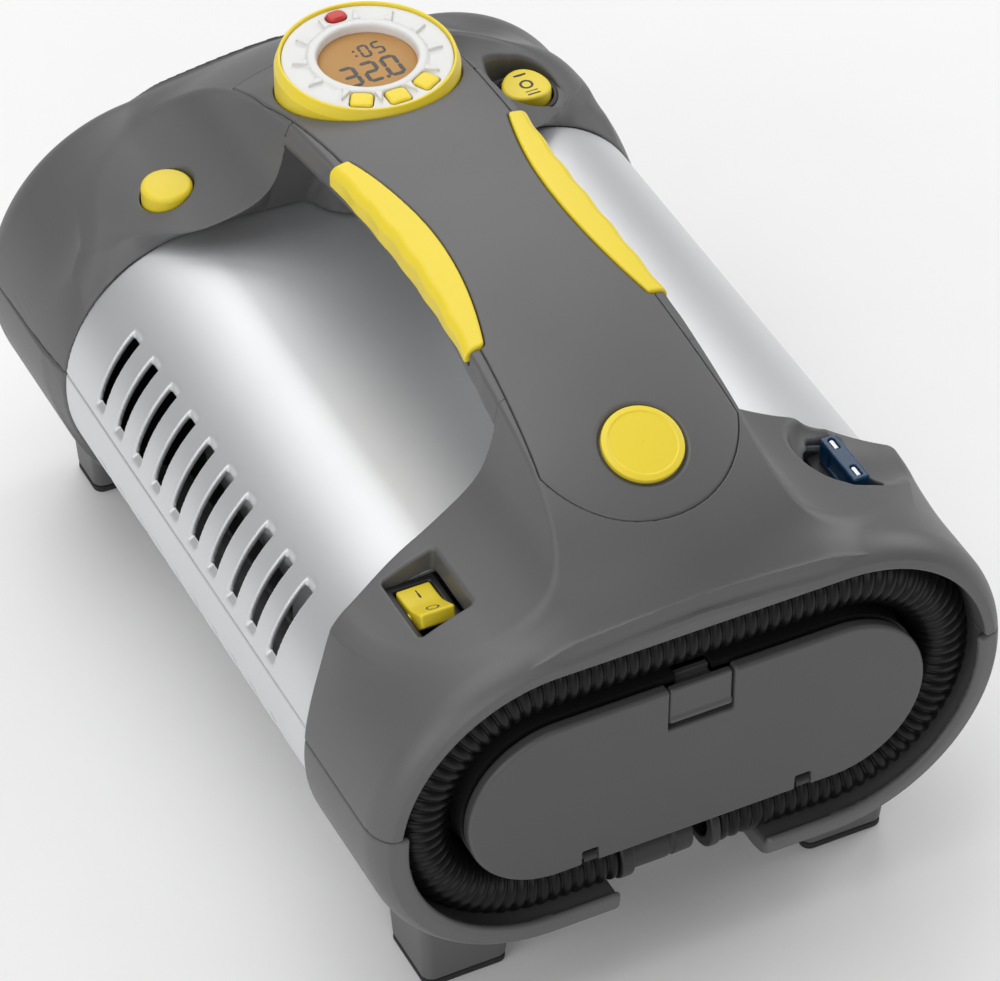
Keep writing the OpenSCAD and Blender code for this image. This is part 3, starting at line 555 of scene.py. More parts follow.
def flank_height(x):
    aside = np.abs(x)
    return FLANK_LEVEL - FLANK_FALL * aside + FLANK_BEND / np.maximum(aside - FLANK_WALL_X, 0.4)


def flanks(g):
    """The ridge between its hollows, from its steep sides to the slopes over the barrels."""
    aside = np.abs(g.x) - FLANK_WALL_X
    over = np.maximum(g.z - FLANK_LEVEL + FLANK_FALL * np.abs(g.x), 0)
    return (aside * over - FLANK_BEND) / np.maximum(np.hypot(over + FLANK_FALL * aside, aside), 0.001)


def upper_skin(g):
    """Barrels and ridge joined softly, with the right hollow filled behind the rear rocker."""
    aside = np.abs(g.x)
    filled = FILL * fade(g.y, *FILL_Y) * fade(g.x, *FILL_X)
    hill = above(g.z, hill_height(g.x, g.y), g.cell)
    hill = both(hill, flanks(g) - filled, FLANK_EDGE + FLANK_SOFT * fade(aside, *FLANK_SOFT_X))
    reach = 9 - 7 * fade(aside, 35, 55)
    return both(melt(barrels(g), hill, reach), slab(g.y, 0, BODY_LEN), 0.6)


def front_edge(x):
    """Rear edge of the front cap, which draws forward at the sides."""
    start, end = FRONT_EDGE_X
    return GAP_Y[0] - FRONT_EDGE_IN * (np.maximum(np.abs(x) - start, 0) / (end - start)) ** 1.6


def rear_wall(g):
    """What lies behind the rear cap's wall, which leans over the hand gap and fades into the side."""
    aside = np.abs(g.x)
    foot = REAR_FOOT_Y + REAR_FOOT_BACK * fade(aside, 0, REAR_FOOT_X)
    back = melt(BRINK_SLOPE * np.maximum(aside - HANDLE_X, 0), BRINK_MOST, BRINK_SOFT)
    brink = GAP_Y[1] + back + BRINK_TURN * fade(aside, *BRINK_TURN_X)
    top = np.minimum(np.minimum(flank_height(g.x), hill_height(g.x, brink)), BRINK_TOP)
    tall = np.maximum(stadium(g.x, top, *LAP), 1.6)
    rise = np.clip(stadium(g.x, g.z, *LAP) / tall, 0, 1.1)
    return -above(g.y, foot + (brink - foot) * rise, g.cell)


def waisted(g, waist):
    """Sides that draw in toward the middle: half width there, and radius of the curve."""
    return waist[1] - np.hypot(waist[0] + waist[1] - np.abs(g.x), g.y - CREST_Y)


def cover_plan(g):
    """The handle cover from above, with a round end each way."""
    front = np.hypot(g.x, np.minimum(g.y - COVER_FRONT[0], 0)) - COVER_FRONT[1]
    rear = np.hypot(g.x, np.maximum(g.y - COVER_REAR[0], 0)) - COVER_REAR[1]
    sides = np.maximum(np.abs(g.x) - COVER_X, waisted(g, COVER_WAIST))
    return np.maximum(sides, np.maximum(front, rear))


def cover_pocket(g, gap):
    """Room for the handle cover in the pieces under it."""
    return np.maximum(cover_plan(g) - gap, crest(g.y) - COVER_T - gap - g.z)


def gauge_well(g):
    return np.maximum(np.hypot(g.x, g.y - GAUGE_Y) - BEZEL_R - 0.25, GAUGE_LOW - g.z)


def above_split(body, g):
    return both(body, SPLIT_Z + SEAM / 2 - g.z, 0.4)


def below_split(body, g):
    return both(body, g.z - SPLIT_Z + SEAM / 2, 0.4)


BOWL_AT = (66.5, 43.6, 52.5)
BOWL_R = (16.5, 16.5, 11.5)
BOWL_STRETCH = 0.45
BOWL_FALL = 0.42


def fuse_bowl(g):
    """Shallow bowl round the fuse that runs out over the side of the barrel."""
    aside = g.x - BOWL_AT[0]
    outward = np.maximum(aside, 0)
    up = g.z - BOWL_AT[2] + BOWL_FALL * outward
    return ellipsoid(aside - BOWL_STRETCH * outward, g.y - BOWL_AT[1], up, *BOWL_R)


def upper_front_cap():
    g = Grid((-CAP_A, 0, SPLIT_Z), (CAP_A, GAP_Y[0], 90), 0.45)
    edge = SHARP_EDGE + 0.75 * fade(np.abs(g.x), 31, 35)
    body = both(upper_skin(g), above(g.y, front_edge(g.x), g.cell), edge)
    hose_room = np.maximum(stadium(g.x, g.z, *CHANNEL), g.y - CHANNEL_END)
    sleeve_room = np.maximum(stadium(g.x, g.z, *LAP), CHANNEL_END - g.y)
    body = less(body, np.minimum(hose_room, sleeve_room), 0.7)
    body = less(body, cover_pocket(g, COVER_GAP), 0.5)
    body = less(body, rounded_box(g.x - POWER_X, g.y - POWER_Y, *POWER_HOLE, 1.2), 0.9)
    body = less(body, fuse_bowl(g), 1.6)
    body = less(body, rounded_box(g.x - FUSE_X, g.y - FUSE_Y, *FUSE_HOLE, 1.5), 0.6)
    return solid("upper_front_cap_shell", g, above_split(body, g))


EYE_TURN = math.radians(138)
EYE_FLOOR = 46.4
EYE_OFFSET = 5.2
EYE_R = 13.5
EYE_RING = 0.6


def rear_eye(g):
    """Almond-shaped recess round the rear rocker, with its tip to the left and rear."""
    aside, along = g.x - MODE_X, g.y - MODE_Y
    forth = aside * math.cos(EYE_TURN) + along * math.sin(EYE_TURN)
    across = along * math.cos(EYE_TURN) - aside * math.sin(EYE_TURN)
    almond = np.hypot(forth, np.abs(across) + EYE_OFFSET) - EYE_R
    return np.minimum(almond, np.hypot(aside, along) - MODE_HOLE_R - EYE_RING)


def rear_hollow(g):
    """Room in the rear caps for the inner works and for the end of the sleeve."""
    room = np.maximum(stadium(g.x, g.z, *REAR_ROOM), slab(g.y, SLEEVE_Y[1], REAR_ROOM_END))
    return np.minimum(room, np.maximum(stadium(g.x, g.z, *LAP), g.y - SLEEVE_Y[1]))


POST_R = 17.2
POST_Y = 210.0
POST_TOP = 78.0


def upper_rear_cap():
    g = Grid((-CAP_A, GAP_Y[1], SPLIT_Z), (CAP_A, BODY_LEN, 91), 0.45)
    aside = np.abs(g.x)
    pod = ellipsoid(g.x - POD_AT[0], g.y - POD_AT[1], g.z - POD_AT[2], *POD_R)
    edge = SHARP_EDGE + 0.55 * fade(aside, 29, 31) + 4 * fade(aside, 68, 82)
    body = both(melt(upper_skin(g), pod, POD_REACH), rear_wall(g), edge)
    post = both(np.hypot(g.x, g.y - POST_Y) - POST_R, slab(g.z, LAP[1] + 0.1, POST_TOP), 0.6)
    body = either(body, post, 1.5)
    body = less(body, rear_hollow(g), 0.6)
    body = less(body, cover_pocket(g, COVER_GAP), 0.5)
    body = less(body, gauge_well(g), 0.5)
    body = less(body, np.hypot(g.x - PUSH_X, g.y - PUSH_Y) - PUSH_HOLE_R, 0.5)
    body = less(body, np.maximum(rear_eye(g), EYE_FLOOR - g.z), 1.2)
    body = less(body, np.hypot(g.x - MODE_X, g.y - MODE_Y) - MODE_HOLE_R, 0.3)
    return solid("upper_rear_cap_shell", g, above_split(body, g))


FOOT_X = 58.5
FOOT_HALF_X = 13.5
FOOT_TOP = -44.0
FOOT_LOW = -74.0
FOOT_FRONT_Y = (19.0, 44.0)
FOOT_REAR_Y = (243.0, 261.0)
GROOVE_PITCH = 4.0


def feet(g, span):
    """Two tapered feet under a cap."""
    taper = 1 - 2 * np.clip((FOOT_TOP - g.z) / (FOOT_TOP - FOOT_LOW), 0, 1)
    half_y = (span[1] - span[0]) / 2
    plan = rounded_box(np.abs(g.x) - FOOT_X, g.y - sum(span) / 2, FOOT_HALF_X + taper, half_y + taper, 3.0)
    return both(plan, slab(g.z, FOOT_LOW, FOOT_TOP + 6), 0.8)


LOWER_FRONT_END = 46.0
LIP_GAP_X = 22.0
LIP_T = 2.4
LIP_IN = 2.2


def lower_front_cap():
    g = Grid((-CAP_A, 0, FOOT_LOW), (CAP_A, LOWER_FRONT_END, SPLIT_Z), 0.8)
    body = both(barrels(g), slab(g.y, 0, LOWER_FRONT_END), 0.7)
    body = either(body, feet(g, FOOT_FRONT_Y), 2.5)
    channel = stadium(g.x, g.z, *CHANNEL)
    hose_room = np.maximum(channel, slab(g.y, LIP_T, CHANNEL_END))
    mouth = np.maximum(channel + LIP_IN, g.y - LIP_T - 1)
    sleeve_room = np.maximum(stadium(g.x, g.z, *LAP), CHANNEL_END - g.y)
    body = less(body, np.minimum(np.minimum(hose_room, sleeve_room), mouth), 0.7)
    finger_gap = np.maximum(np.abs(g.x) - LIP_GAP_X - 0.25 * (LIP_T - np.minimum(g.y, LIP_T)), g.y - 21)
    body = less(body, np.maximum(finger_gap, g.z + 20), 1.0)
    return solid("lower_front_cap_shell", g, below_split(body, g))


LOWER_REAR_Y = 208.5
SCREW_X = 72.0
SCREW_Z = -22.0
SCREW_WELL_R = 4.2
GLAND_Z = -24.0
GLAND_R = 8.0


def lower_rear_cap():
    g = Grid((-CAP_A, 208, FOOT_LOW), (CAP_A, BODY_LEN, SPLIT_Z), 0.8)
    rise = np.clip(stadium(g.x, g.z, *LAP) / 1.8, 0, 1.1)
    wall = LOWER_REAR_Y + BRINK_TURN * rise * (1 - fade(g.z, 0, -30))
    body = both(both(barrels(g), -above(g.y, wall, g.cell), 0.7), g.y - BODY_LEN, 0.7)
    body = either(body, feet(g, FOOT_REAR_Y), 2.5)
    body = less(body, rear_hollow(g), 0.6)
    body = less(body, np.hypot(g.x, g.z - GLAND_Z) - GLAND_R, 0.8)
    screw_well = np.hypot(np.abs(g.x) - SCREW_X, g.z - SCREW_Z) - SCREW_WELL_R
    body = less(body, np.maximum(screw_well, BODY_LEN - 2 - g.y), 0.6)
    return solid("lower_rear_cap_shell", g, below_split(body, g))


dress_all(upper_front_cap, upper_rear_cap, lower_front_cap, lower_rear_cap)


# Sleeve halves with disc-cut vents, and the tray under them

VENT_COUNT = 10
VENT_Y = 73.5
VENT_PITCH = 12.57
VENT_HALF = 2.3
VENT_DISC_R = 40.0
VENT_REACH = 79.7
VENT_ANGLE = math.radians(30)
SWITCH_NOTCH = (10.5, 53.5)


def vents(g, side, left_only):
    """Slots left by a row of discs that dip into the side of the sleeve."""
    near = np.abs((g.y - VENT_Y + VENT_PITCH / 2) % VENT_PITCH - VENT_PITCH / 2) - VENT_HALF
    last = VENT_Y + (VENT_COUNT - 1) * VENT_PITCH
    near = np.maximum(near, slab(g.y, VENT_Y - VENT_HALF - 1, last + VENT_HALF + 1))
    disc_x = SLEEVE[0] - SLEEVE[1] + VENT_REACH * math.cos(VENT_ANGLE)
    disc_z = side * VENT_REACH * math.sin(VENT_ANGLE)
    across = -g.x if left_only else np.abs(g.x)
    return both(near, np.hypot(across - disc_x, g.z - disc_z) - VENT_DISC_R, 0.5)


def sleeve_wall(g):
    outer = stadium(g.x, g.z, *SLEEVE)
    return both(both(outer, -outer - SLEEVE_T), slab(g.y, *SLEEVE_Y), 0.4)


def upper_sleeve():
    g = Grid((-SLEEVE[0], SLEEVE_Y[0], SPLIT_Z), (SLEEVE[0], SLEEVE_Y[1], SLEEVE[1]), 0.7)
    body = less(sleeve_wall(g), vents(g, 1, True), 0.6)
    for x in (POWER_X, FUSE_X):
        body = np.maximum(body, -np.maximum(np.abs(g.x - x) - SWITCH_NOTCH[0], g.y - SWITCH_NOTCH[1]))
    return solid("upper_sleeve_shell", g, above_split(body, g))


def lower_sleeve():
    g = Grid((-SLEEVE[0], SLEEVE_Y[0], -SLEEVE[1]), (SLEEVE[0], SLEEVE_Y[1], SPLIT_Z), 0.7)
    body = less(sleeve_wall(g), vents(g, -1, False), 0.6)
    return solid("lower_sleeve_shell", g, below_split(body, g))


TRAY_X = 82.0
TRAY_Y = (58.0, 192.0)
TRAY_Z = (-26.0, -52.0)
TRAY_CHAMFER = 17.0


def base_tray():
    g = Grid((-TRAY_X, TRAY_Y[0], TRAY_Z[1]), (TRAY_X, TRAY_Y[1], TRAY_Z[0]), 1.0)
    section = both(np.abs(g.x) - TRAY_X, slab(g.z, TRAY_Z[1], TRAY_Z[0]), 1.0)
    slant = (np.abs(g.x) - TRAY_X + TRAY_Z[1] - g.z + TRAY_CHAMFER) / math.sqrt(2)
    body = both(both(section, slant, 3.0), slab(g.y, *TRAY_Y), 1.5)
    return solid("base_tray_shell", g, less(body, stadium(g.x, g.z, *SLEEVE) - 0.1, 0.3))


def foot_pads():
    pads = []
    for index, (side, span) in enumerate((s, y) for s in (-1, 1) for y in (FOOT_FRONT_Y, FOOT_REAR_Y)):
        middle = sum(span) / 2
        half_y = (span[1] - span[0]) / 2 - 1
        x = side * FOOT_X
        reach = FOOT_HALF_X - 0.5
        g = Grid((x - reach, middle - half_y, -PART_Z), (x + reach, middle + half_y, FOOT_LOW), 0.4)
        plan = rounded_box(g.x - x, g.y - middle, FOOT_HALF_X - 1, half_y, 3.0)
        body = both(plan, slab(g.z, -PART_Z, FOOT_LOW), 0.5)
        groove = np.abs((g.y - middle + GROOVE_PITCH / 2) % GROOVE_PITCH - GROOVE_PITCH / 2) - 0.5
        body = less(body, np.maximum(np.maximum(groove, plan + 2.5), g.z + PART_Z - 0.7), 0.2)
        pads.append(solid(f"foot_pad_{index + 1}", g, body))
    return pads


dress_all(upper_sleeve, lower_sleeve, base_tray)
for pad in foot_pads():
    dress(pad, "foot_pads")


# Handle cover, beam, grips and badge

BADGE_Y = 36.3
BADGE_R = 11.1
BADGE_TILT = math.radians(21.8)
BADGE_Z = float(crest(np.array(BADGE_Y)))


def badge_space(g):
    """Seat of the tilted badge in the cover."""
    forward = g.y - BADGE_Y
    lift = g.z - BADGE_Z
    along = forward * math.cos(BADGE_TILT) + lift * math.sin(BADGE_TILT)
    height = lift * math.cos(BADGE_TILT) - forward * math.sin(BADGE_TILT)
    return np.maximum(np.hypot(g.x, along) - BADGE_R - 0.5, -1.6 - height)


def handle_plan(g):
    ends = HANDLE_FLARE * fade(np.abs(g.y - CREST_Y), *HANDLE_FLARE_Y)
    return np.maximum(np.abs(g.x) - HANDLE_X - ends, waisted(g, HANDLE_WAIST))


def grip_plan(g, side):
    """Lens between the inner bow and the two cut ends."""
    bow = np.hypot(side * g.x - GRIP_BOW[0], g.y - CREST_Y) - GRIP_BOW[1]
    return both(bow, slab(g.y, *GRIP_Y), 0.8)


FINGER_PITCH = 13.8
FINGER_WAVE = 0.25


def grip(side, name):
    low_x, high_x = sorted(side * x for x in GRIP_X)
    g = Grid((low_x, GRIP_Y[0], GRIP_Z - 2), (high_x, GRIP_Y[1], HANDLE_TOP), 0.4)
    wave = FINGER_WAVE * np.cos((g.y - CREST_Y) * 2 * math.pi / FINGER_PITCH)
    top = above(g.z, hill_height(g.x, g.y) + 0.7, g.cell)
    body = both(top, handle_plan(g) - 0.6 - wave, 2.4)
    body = both(body, grip_plan(g, side), 0.7)
    return solid(name, g, both(body, GRIP_Z - g.z + wave, 0.8))


def grip_pockets(body, g):
    for side in (-1, 1):
        body = less(body, np.maximum(grip_plan(g, side) - 0.3, GRIP_Z - 0.6 - g.z), 0.4)
    return body


def handle_cover():
    g = Grid((-COVER_X, 18, 58), (COVER_X, sum(COVER_REAR), HANDLE_TOP), 0.4)
    top = above(g.z, hill_height(g.x, g.y), g.cell)
    body = both(both(top, cover_plan(g), 0.5), crest(g.y) - COVER_T - g.z, 0.4)
    body = less(grip_pockets(body, g), gauge_well(g), 0.5)
    return solid("handle_cover_shell", g, less(body, badge_space(g), 1.4))


def handle_beam():
    g = Grid((-HANDLE_X - 3, GAP_Y[0] - 1, 70), (HANDLE_X + 3, GAP_Y[1] + 6, HANDLE_TOP), 0.4)
    top = above(g.z, hill_height(g.x, g.y), g.cell)
    body = both(both(top, flanks(g), 1.2), handle_plan(g), 1.2)
    body = both(body, above(-g.z, HANDLE_T - crest(g.y), g.cell), 4.5)
    ends = np.maximum(GAP_Y[0] - 0.3 - g.y, g.y - GAP_Y[1] - 0.3 - 0.3 * (86 - g.z))
    body = both(body, ends, 0.1)
    body = less(body, cover_pocket(g, COVER_GAP), 0.5)
    return solid("handle_beam_shell", g, less(grip_pockets(body, g), gauge_well(g), 0.4))


def badge_disc():
    outline = soften([(0.01, -1.6), (BADGE_R, -1.6), (BADGE_R, 0.3), (BADGE_R - 1.6, 0.6),
                      (BADGE_R - 2.1, 0.4), (0.01, 0.9)], 0.4)
    return lathe("badge_disc_plain", outline, (0, BADGE_Y, BADGE_Z), tilt=BADGE_TILT)


dress_all(handle_cover, handle_beam)
dress(grip(-1, "grip_left_pad"), "grip_left")
dress(grip(1, "grip_right_pad"), "grip_right")
dress(badge_disc(), "badge_disc")


# Bin door and its latch

DOOR_A = 68.0
DOOR_R = 26.7
DOOR_T = 4.0
HINGE_Z = -24.7
EAR_X = (29.6, 34.4)
NOTCH_X = 9.7
NOTCH_Z = 12.6
LATCH_Y = (0.7, 3.1)
LATCH_Z = 20.2
LATCH_HALF_Z = 5.9
LATCH_PIN_X = 11.0
HOOK_X = 5.0
HOOK_END_Y = 8.4


def bin_door():
    g = Grid((-DOOR_A, 0, -DOOR_R), (DOOR_A, DOOR_T, DOOR_R), 0.5)
    body = both(stadium(g.x, g.z, DOOR_A, DOOR_R), slab(g.y, 0, DOOR_T), 1.2)
    notch = np.maximum(np.abs(g.x) - NOTCH_X, NOTCH_Z - g.z)
    body = less(body, notch, 0.6)
    ears = np.maximum(slab(np.abs(g.x), *EAR_X), g.z - HINGE_Z - 3)
    return solid("bin_door_panel", g, less(body, ears, 0.3))


def door_latch():
    g = Grid((-LATCH_PIN_X, LATCH_Y[0], 13.6), (LATCH_PIN_X, HOOK_END_Y, 26.2), 0.3)
    plan = rounded_box(g.x, g.z - LATCH_Z, NOTCH_X - 0.4, LATCH_HALF_Z, 0.8)
    plate = both(plan, slab(g.y, *LATCH_Y), 0.7)
    ridge = both(np.hypot((g.y - 1.9) * 0.9, g.z - 15.3) - 1.5, np.abs(g.x) - NOTCH_X + 0.5, 0.5)
    arm = np.maximum(slab(g.y, 2.6, HOOK_END_Y), slab(g.z, 21.4, 23.6))
    barb = np.maximum(slab(g.y, 6.6, HOOK_END_Y), slab(g.z, 22.8, 25.4))
    hook = np.maximum(np.abs(g.x) - HOOK_X, np.minimum(arm, barb))
    pin = np.maximum(np.hypot(g.y - 2, g.z - 14.8) - 0.9, np.abs(g.x) - LATCH_PIN_X)
    return solid("door_latch_tab", g, np.minimum(np.minimum(either(plate, ridge, 0.5), hook), pin))


dress_all(bin_door, door_latch)


# Ribbed hose in its channel, with its end pieces

HOSE_Y = 11.5
HOSE_RUN_R = 36.0
HOSE_FLAT = 42.0
HOSE_START_X = 9.0
HOSE_END_X = -21.0
HOSE_R = 8.5
HOSE_ROOT_R = 7.2
HOSE_BORE_R = 5.6
COLLAR_R = 9.0
CUFF_R = 7.6
CUFF_END_X = 1.5
HOSE_RIBS = 105
RINGS_PER_RIB = 10
HOSE_SIDES = 28


def hose_route(s):
    """Centre of the hose and its turn, in radians, that far along it."""
    arc = math.pi * HOSE_RUN_R
    first = HOSE_FLAT - HOSE_START_X
    top = first + arc
    second = top + 2 * HOSE_FLAT
    last = second + arc
    if s < first:
        return HOSE_START_X + s, -HOSE_RUN_R, 0
    if s < top:
        turn = (s - first) / HOSE_RUN_R
        return HOSE_FLAT + HOSE_RUN_R * math.sin(turn), -HOSE_RUN_R * math.cos(turn), turn
    if s < second:
        return HOSE_FLAT - (s - top), HOSE_RUN_R, math.pi
    if s < last:
        turn = math.pi + (s - second) / HOSE_RUN_R
        return -HOSE_FLAT + HOSE_RUN_R * math.sin(turn), -HOSE_RUN_R * math.cos(turn), turn
    return -HOSE_FLAT + (s - last), -HOSE_RUN_R, 2 * math.pi


def hose_ring(s, radius):
    x, z, turn = hose_route(s)
    round_it = np.linspace(0, 2 * math.pi, HOSE_SIDES, endpoint=False)
    across = radius * np.cos(round_it)
    y = HOSE_Y + radius * np.sin(round_it)
    return np.stack([x + across * math.sin(turn), y, z - across * math.cos(turn)], 1)


def air_hose():
    length = 2 * math.pi * HOSE_RUN_R + 4 * HOSE_FLAT - HOSE_START_X + HOSE_END_X
    count = HOSE_RIBS * RINGS_PER_RIB
    rings = []
    for k in range(count + 1):
        rib = abs(math.sin(math.pi * k / RINGS_PER_RIB)) ** 0.7
        rings.append(hose_ring(length * k / count, HOSE_ROOT_R + (HOSE_R - HOSE_ROOT_R) * rib))
    for k in range(count, -1, -RINGS_PER_RIB):
        rings.append(hose_ring(length * k / count, HOSE_BORE_R))
    outward = tube_faces(len(rings), HOSE_SIDES)[:, [0, 3, 2, 1]]
    return mesh_object("air_hose_ribbed", np.concatenate(rings), outward)


def hose_cuff():
    collar_end = HOSE_END_X + 4
    outline = soften([(HOSE_BORE_R, HOSE_END_X), (COLLAR_R, HOSE_END_X), (COLLAR_R, collar_end),
                      (CUFF_R, collar_end), (CUFF_R, -6), (CUFF_R - 0.5, -5.6), (CUFF_R - 0.5, -4.6),
                      (CUFF_R, -4.2), (CUFF_R - 0.2, CUFF_END_X), (HOSE_BORE_R, CUFF_END_X)], 0.8)
    return lathe("hose_cuff_sleeve", outline, (0, HOSE_Y, -HOSE_RUN_R), axis="x")


def hose_end_ring():
    collar_start = HOSE_START_X - 3
    outline = soften([(HOSE_BORE_R, collar_start), (COLLAR_R, collar_start), (COLLAR_R, HOSE_START_X),
                      (HOSE_BORE_R, HOSE_START_X)], 0.8)
    return lathe("hose_end_ring_collar", outline, (0, HOSE_Y, -HOSE_RUN_R), axis="x")


dress_all(air_hose, hose_cuff, hose_end_ring)


# Gauge

def gauge_bezel():
    top = GAUGE_Z + 0.3
    seat = GAUGE_LOW + 2.5
    outline = soften([(BEZEL_BORE_R, GAUGE_LOW), (BEZEL_R, GAUGE_LOW), (BEZEL_R, GAUGE_Z - 3),
                      (FACE_R + 0.9, top), (FACE_R + 0.15, top), (FACE_R + 0.05, GAUGE_Z - 1),
                      (FACE_R + 0.05, seat), (BEZEL_BORE_R, seat)], 0.5)
    return lathe("gauge_bezel_ring", outline, (0, GAUGE_Y, 0), sides=144)


def key_frame(g, angle, ring_r):
    """Radial and tangential place of the grid's points at a key."""
    turn = math.radians(angle)
    forward = g.y - GAUGE_Y
    radial = g.x * math.cos(turn) + forward * math.sin(turn) - ring_r
    return radial, forward * math.cos(turn) - g.x * math.sin(turn)


TICK_ANGLES = range(15, 360, 30)
TICK_R = (16.8, 21.6)
RING_R = 15.4


def gauge_face():
    g = Grid((-FACE_R, GAUGE_Y - FACE_R, FACE_LOW), (FACE_R, GAUGE_Y + FACE_R, GAUGE_Z + 0.6), 0.35)
    r = np.hypot(g.x, g.y - GAUGE_Y)
    plate = np.maximum(r - FACE_R, slab(g.z, LCD_Z, GAUGE_Z - 0.5))
    skirt = np.maximum(slab(r, FACE_R - 1, FACE_R - 0.1), slab(g.z, FACE_LOW, GAUGE_Z - 2))
    ring = both(np.abs(r - RING_R) - 1.5, slab(g.z, LCD_Z, GAUGE_Z + 0.3), 0.9)
    body = either(np.minimum(plate, skirt), ring, 0.8)
    for angle in TICK_ANGLES:
        radial, aside = key_frame(g, angle, 0)
        wedge = np.abs(aside) - 0.26 * (TICK_R[1] - radial)
        tick = both(wedge, slab(radial, *TICK_R), 0.2)
        body = either(body, both(tick, slab(g.z, LCD_Z, GAUGE_Z + 0.6), 0.25), 0.15)
    body = less(body, r - LCD_R + 0.1 * (GAUGE_Z - g.z), 0.7)
    for angle in KEY_ANGLES.values():
        radial, aside = key_frame(g, angle, KEY_RING_R)
        body = less(body, rounded_box(radial, aside, KEY_HALF[0] + 0.25, KEY_HALF[1] + 0.25, 1.2), 0.3)
    radial, aside = key_frame(g, STOP_ANGLE, STOP_RING_R)
    stop_hole = rounded_box(radial, aside, STOP_HALF[0] + 0.25, STOP_HALF[1] + 0.25, 2.2)
    return solid("gauge_face_dial", g, less(body, stop_hole, 0.3))


def gauge_key(name, angle, ring_r, half, corner, top):
    turn = math.radians(angle)
    x = ring_r * math.cos(turn)
    y = GAUGE_Y + ring_r * math.sin(turn)
    g = Grid((x - 5, y - 5, KEY_LOW), (x + 5, y + 5, top), 0.25)
    radial, aside = key_frame(g, angle, ring_r)
    pillow = g.z - top + 0.03 * (radial**2 + aside**2)
    plan = rounded_box(radial, aside, *half, corner)
    cap = both(plan, np.maximum(pillow, GAUGE_Z - 4.6 - g.z), 0.6)
    stem = np.maximum(np.hypot(radial, aside) - 1.4, slab(g.z, KEY_LOW, GAUGE_Z - 4))
    return solid(name, g, np.minimum(cap, stem))


def lcd_panel():
    low = LCD_Z - 3
    outline = soften([(0.01, low), (15, low), (15, LCD_Z), (14.2, LCD_Z), (13.9, INK_Z), (0.01, INK_Z)], 0.2)
    return lathe("lcd_panel_disc", outline, (0, GAUGE_Y, 0))


def lcd_lens():
    outline = soften([(0.01, 91.2), (13.0, 91.2), (13.2, 91.9), (12.2, 92.2), (0.01, 92.3)], 0.3)
    return lathe("lcd_lens_dome", outline, (0, GAUGE_Y, 0))


# Seven-segment figures: each bar's middle and whether it stands
SEGMENTS = {"a": (0.5, 1.0, False), "b": (1.0, 0.75, True), "c": (1.0, 0.25, True), "d": (0.5, 0.0, False),
            "e": (0.0, 0.25, True), "f": (0.0, 0.75, True), "g": (0.5, 0.5, False)}
LIT = {"0": "abcdef", "2": "abged", "3": "abgcd", "5": "afgcd"}
INK_T = 0.1


def bar(u, v, half_long, half_wide, standing):
    """Corners of one hexagonal bar of a figure."""
    tip = half_long
    body = half_long - half_wide
    corners = [(-tip, 0), (-body, -half_wide), (body, -half_wide),
               (tip, 0), (body, half_wide), (-body, half_wide)]
    if standing:
        corners = [(-q, p) for p, q in corners]
    return [(u + p, v + q) for p, q in corners]


def figure_bars(text, left, low, wide, tall, pitch):
    """Bars of a row of figures on the display."""
    thick = 0.07 * tall
    bars = []
    for index, mark in enumerate(text):
        for name in LIT[mark]:
            u, v, standing = SEGMENTS[name]
            reach = (tall / 2 if standing else wide) / 2 - 0.15 * thick
            bars.append(bar(left + index * pitch + u * wide, low + v * tall, reach, thick, standing))
    return bars


def display_ink(name, outlines):
    """Thin raised ink from closed outlines in the plane of the display."""
    mesh = bpy.data.meshes.new(name)
    points = []
    faces = []
    for outline in outlines:
        n = len(outline)
        first = len(points)
        for z in (INK_Z, INK_Z + INK_T):
            points += [(u, GAUGE_Y + v, z) for u, v in outline]
        faces.append([first + n + i for i in range(n)])
        faces.append([first + n - 1 - i for i in range(n)])
        faces += [[first + i, first + (i + 1) % n, first + n + (i + 1) % n, first + n + i] for i in range(n)]
    mesh.from_pydata(to_frame(points).tolist(), [], faces)
    mesh.validate()
    obj = bpy.data.objects.new(name, mesh)
    bpy.context.scene.collection.objects.link(obj)
    return obj


def dot(u, v, r):
    return [(u + r * math.cos(i * math.pi / 6), v + r * math.sin(i * math.pi / 6)) for i in range(12)]


def display_figures():
    large = figure_bars("320", -8.6, -7.6, 3.9, 8.2, 6.3)
    small = figure_bars("05", 0.6, 3.2, 2.4, 5.0, 4.1)
    return large + small + [dot(2.9, -7.6, 0.6), dot(-1.2, 4.6, 0.4), dot(-1.2, 6.8, 0.4)]


dress_all(gauge_bezel, gauge_face, lcd_panel, lcd_lens)
add(display_ink("lcd_figures", display_figures()), "lcd_panel", "black_plastic")
for place, angle in KEY_ANGLES.items():
    key = gauge_key(f"gauge_key_{place}", angle, KEY_RING_R, KEY_HALF, 1.2, GAUGE_Z + 0.3)
    dress(key, f"gauge_button_{place}")
stop_key = gauge_key("stop_key_oval", STOP_ANGLE, STOP_RING_R, STOP_HALF, 2.0, GAUGE_Z + 0.6)
dress(stop_key, "stop_button")


# Switches, push button and fuse

ROCKER_TILT = math.radians(16)
ROCKER_Z = 41.2
POWER_Z = (29, 43)


def mark_on(name, g, body, shape):
    """A thin printed mark that follows a surface."""
    return solid(name, g, np.maximum(np.maximum(body - 0.06, -body - 0.25), shape))


def ring_mark(u, v, radius, half):
    return np.abs(np.hypot(u, v) - radius) - half


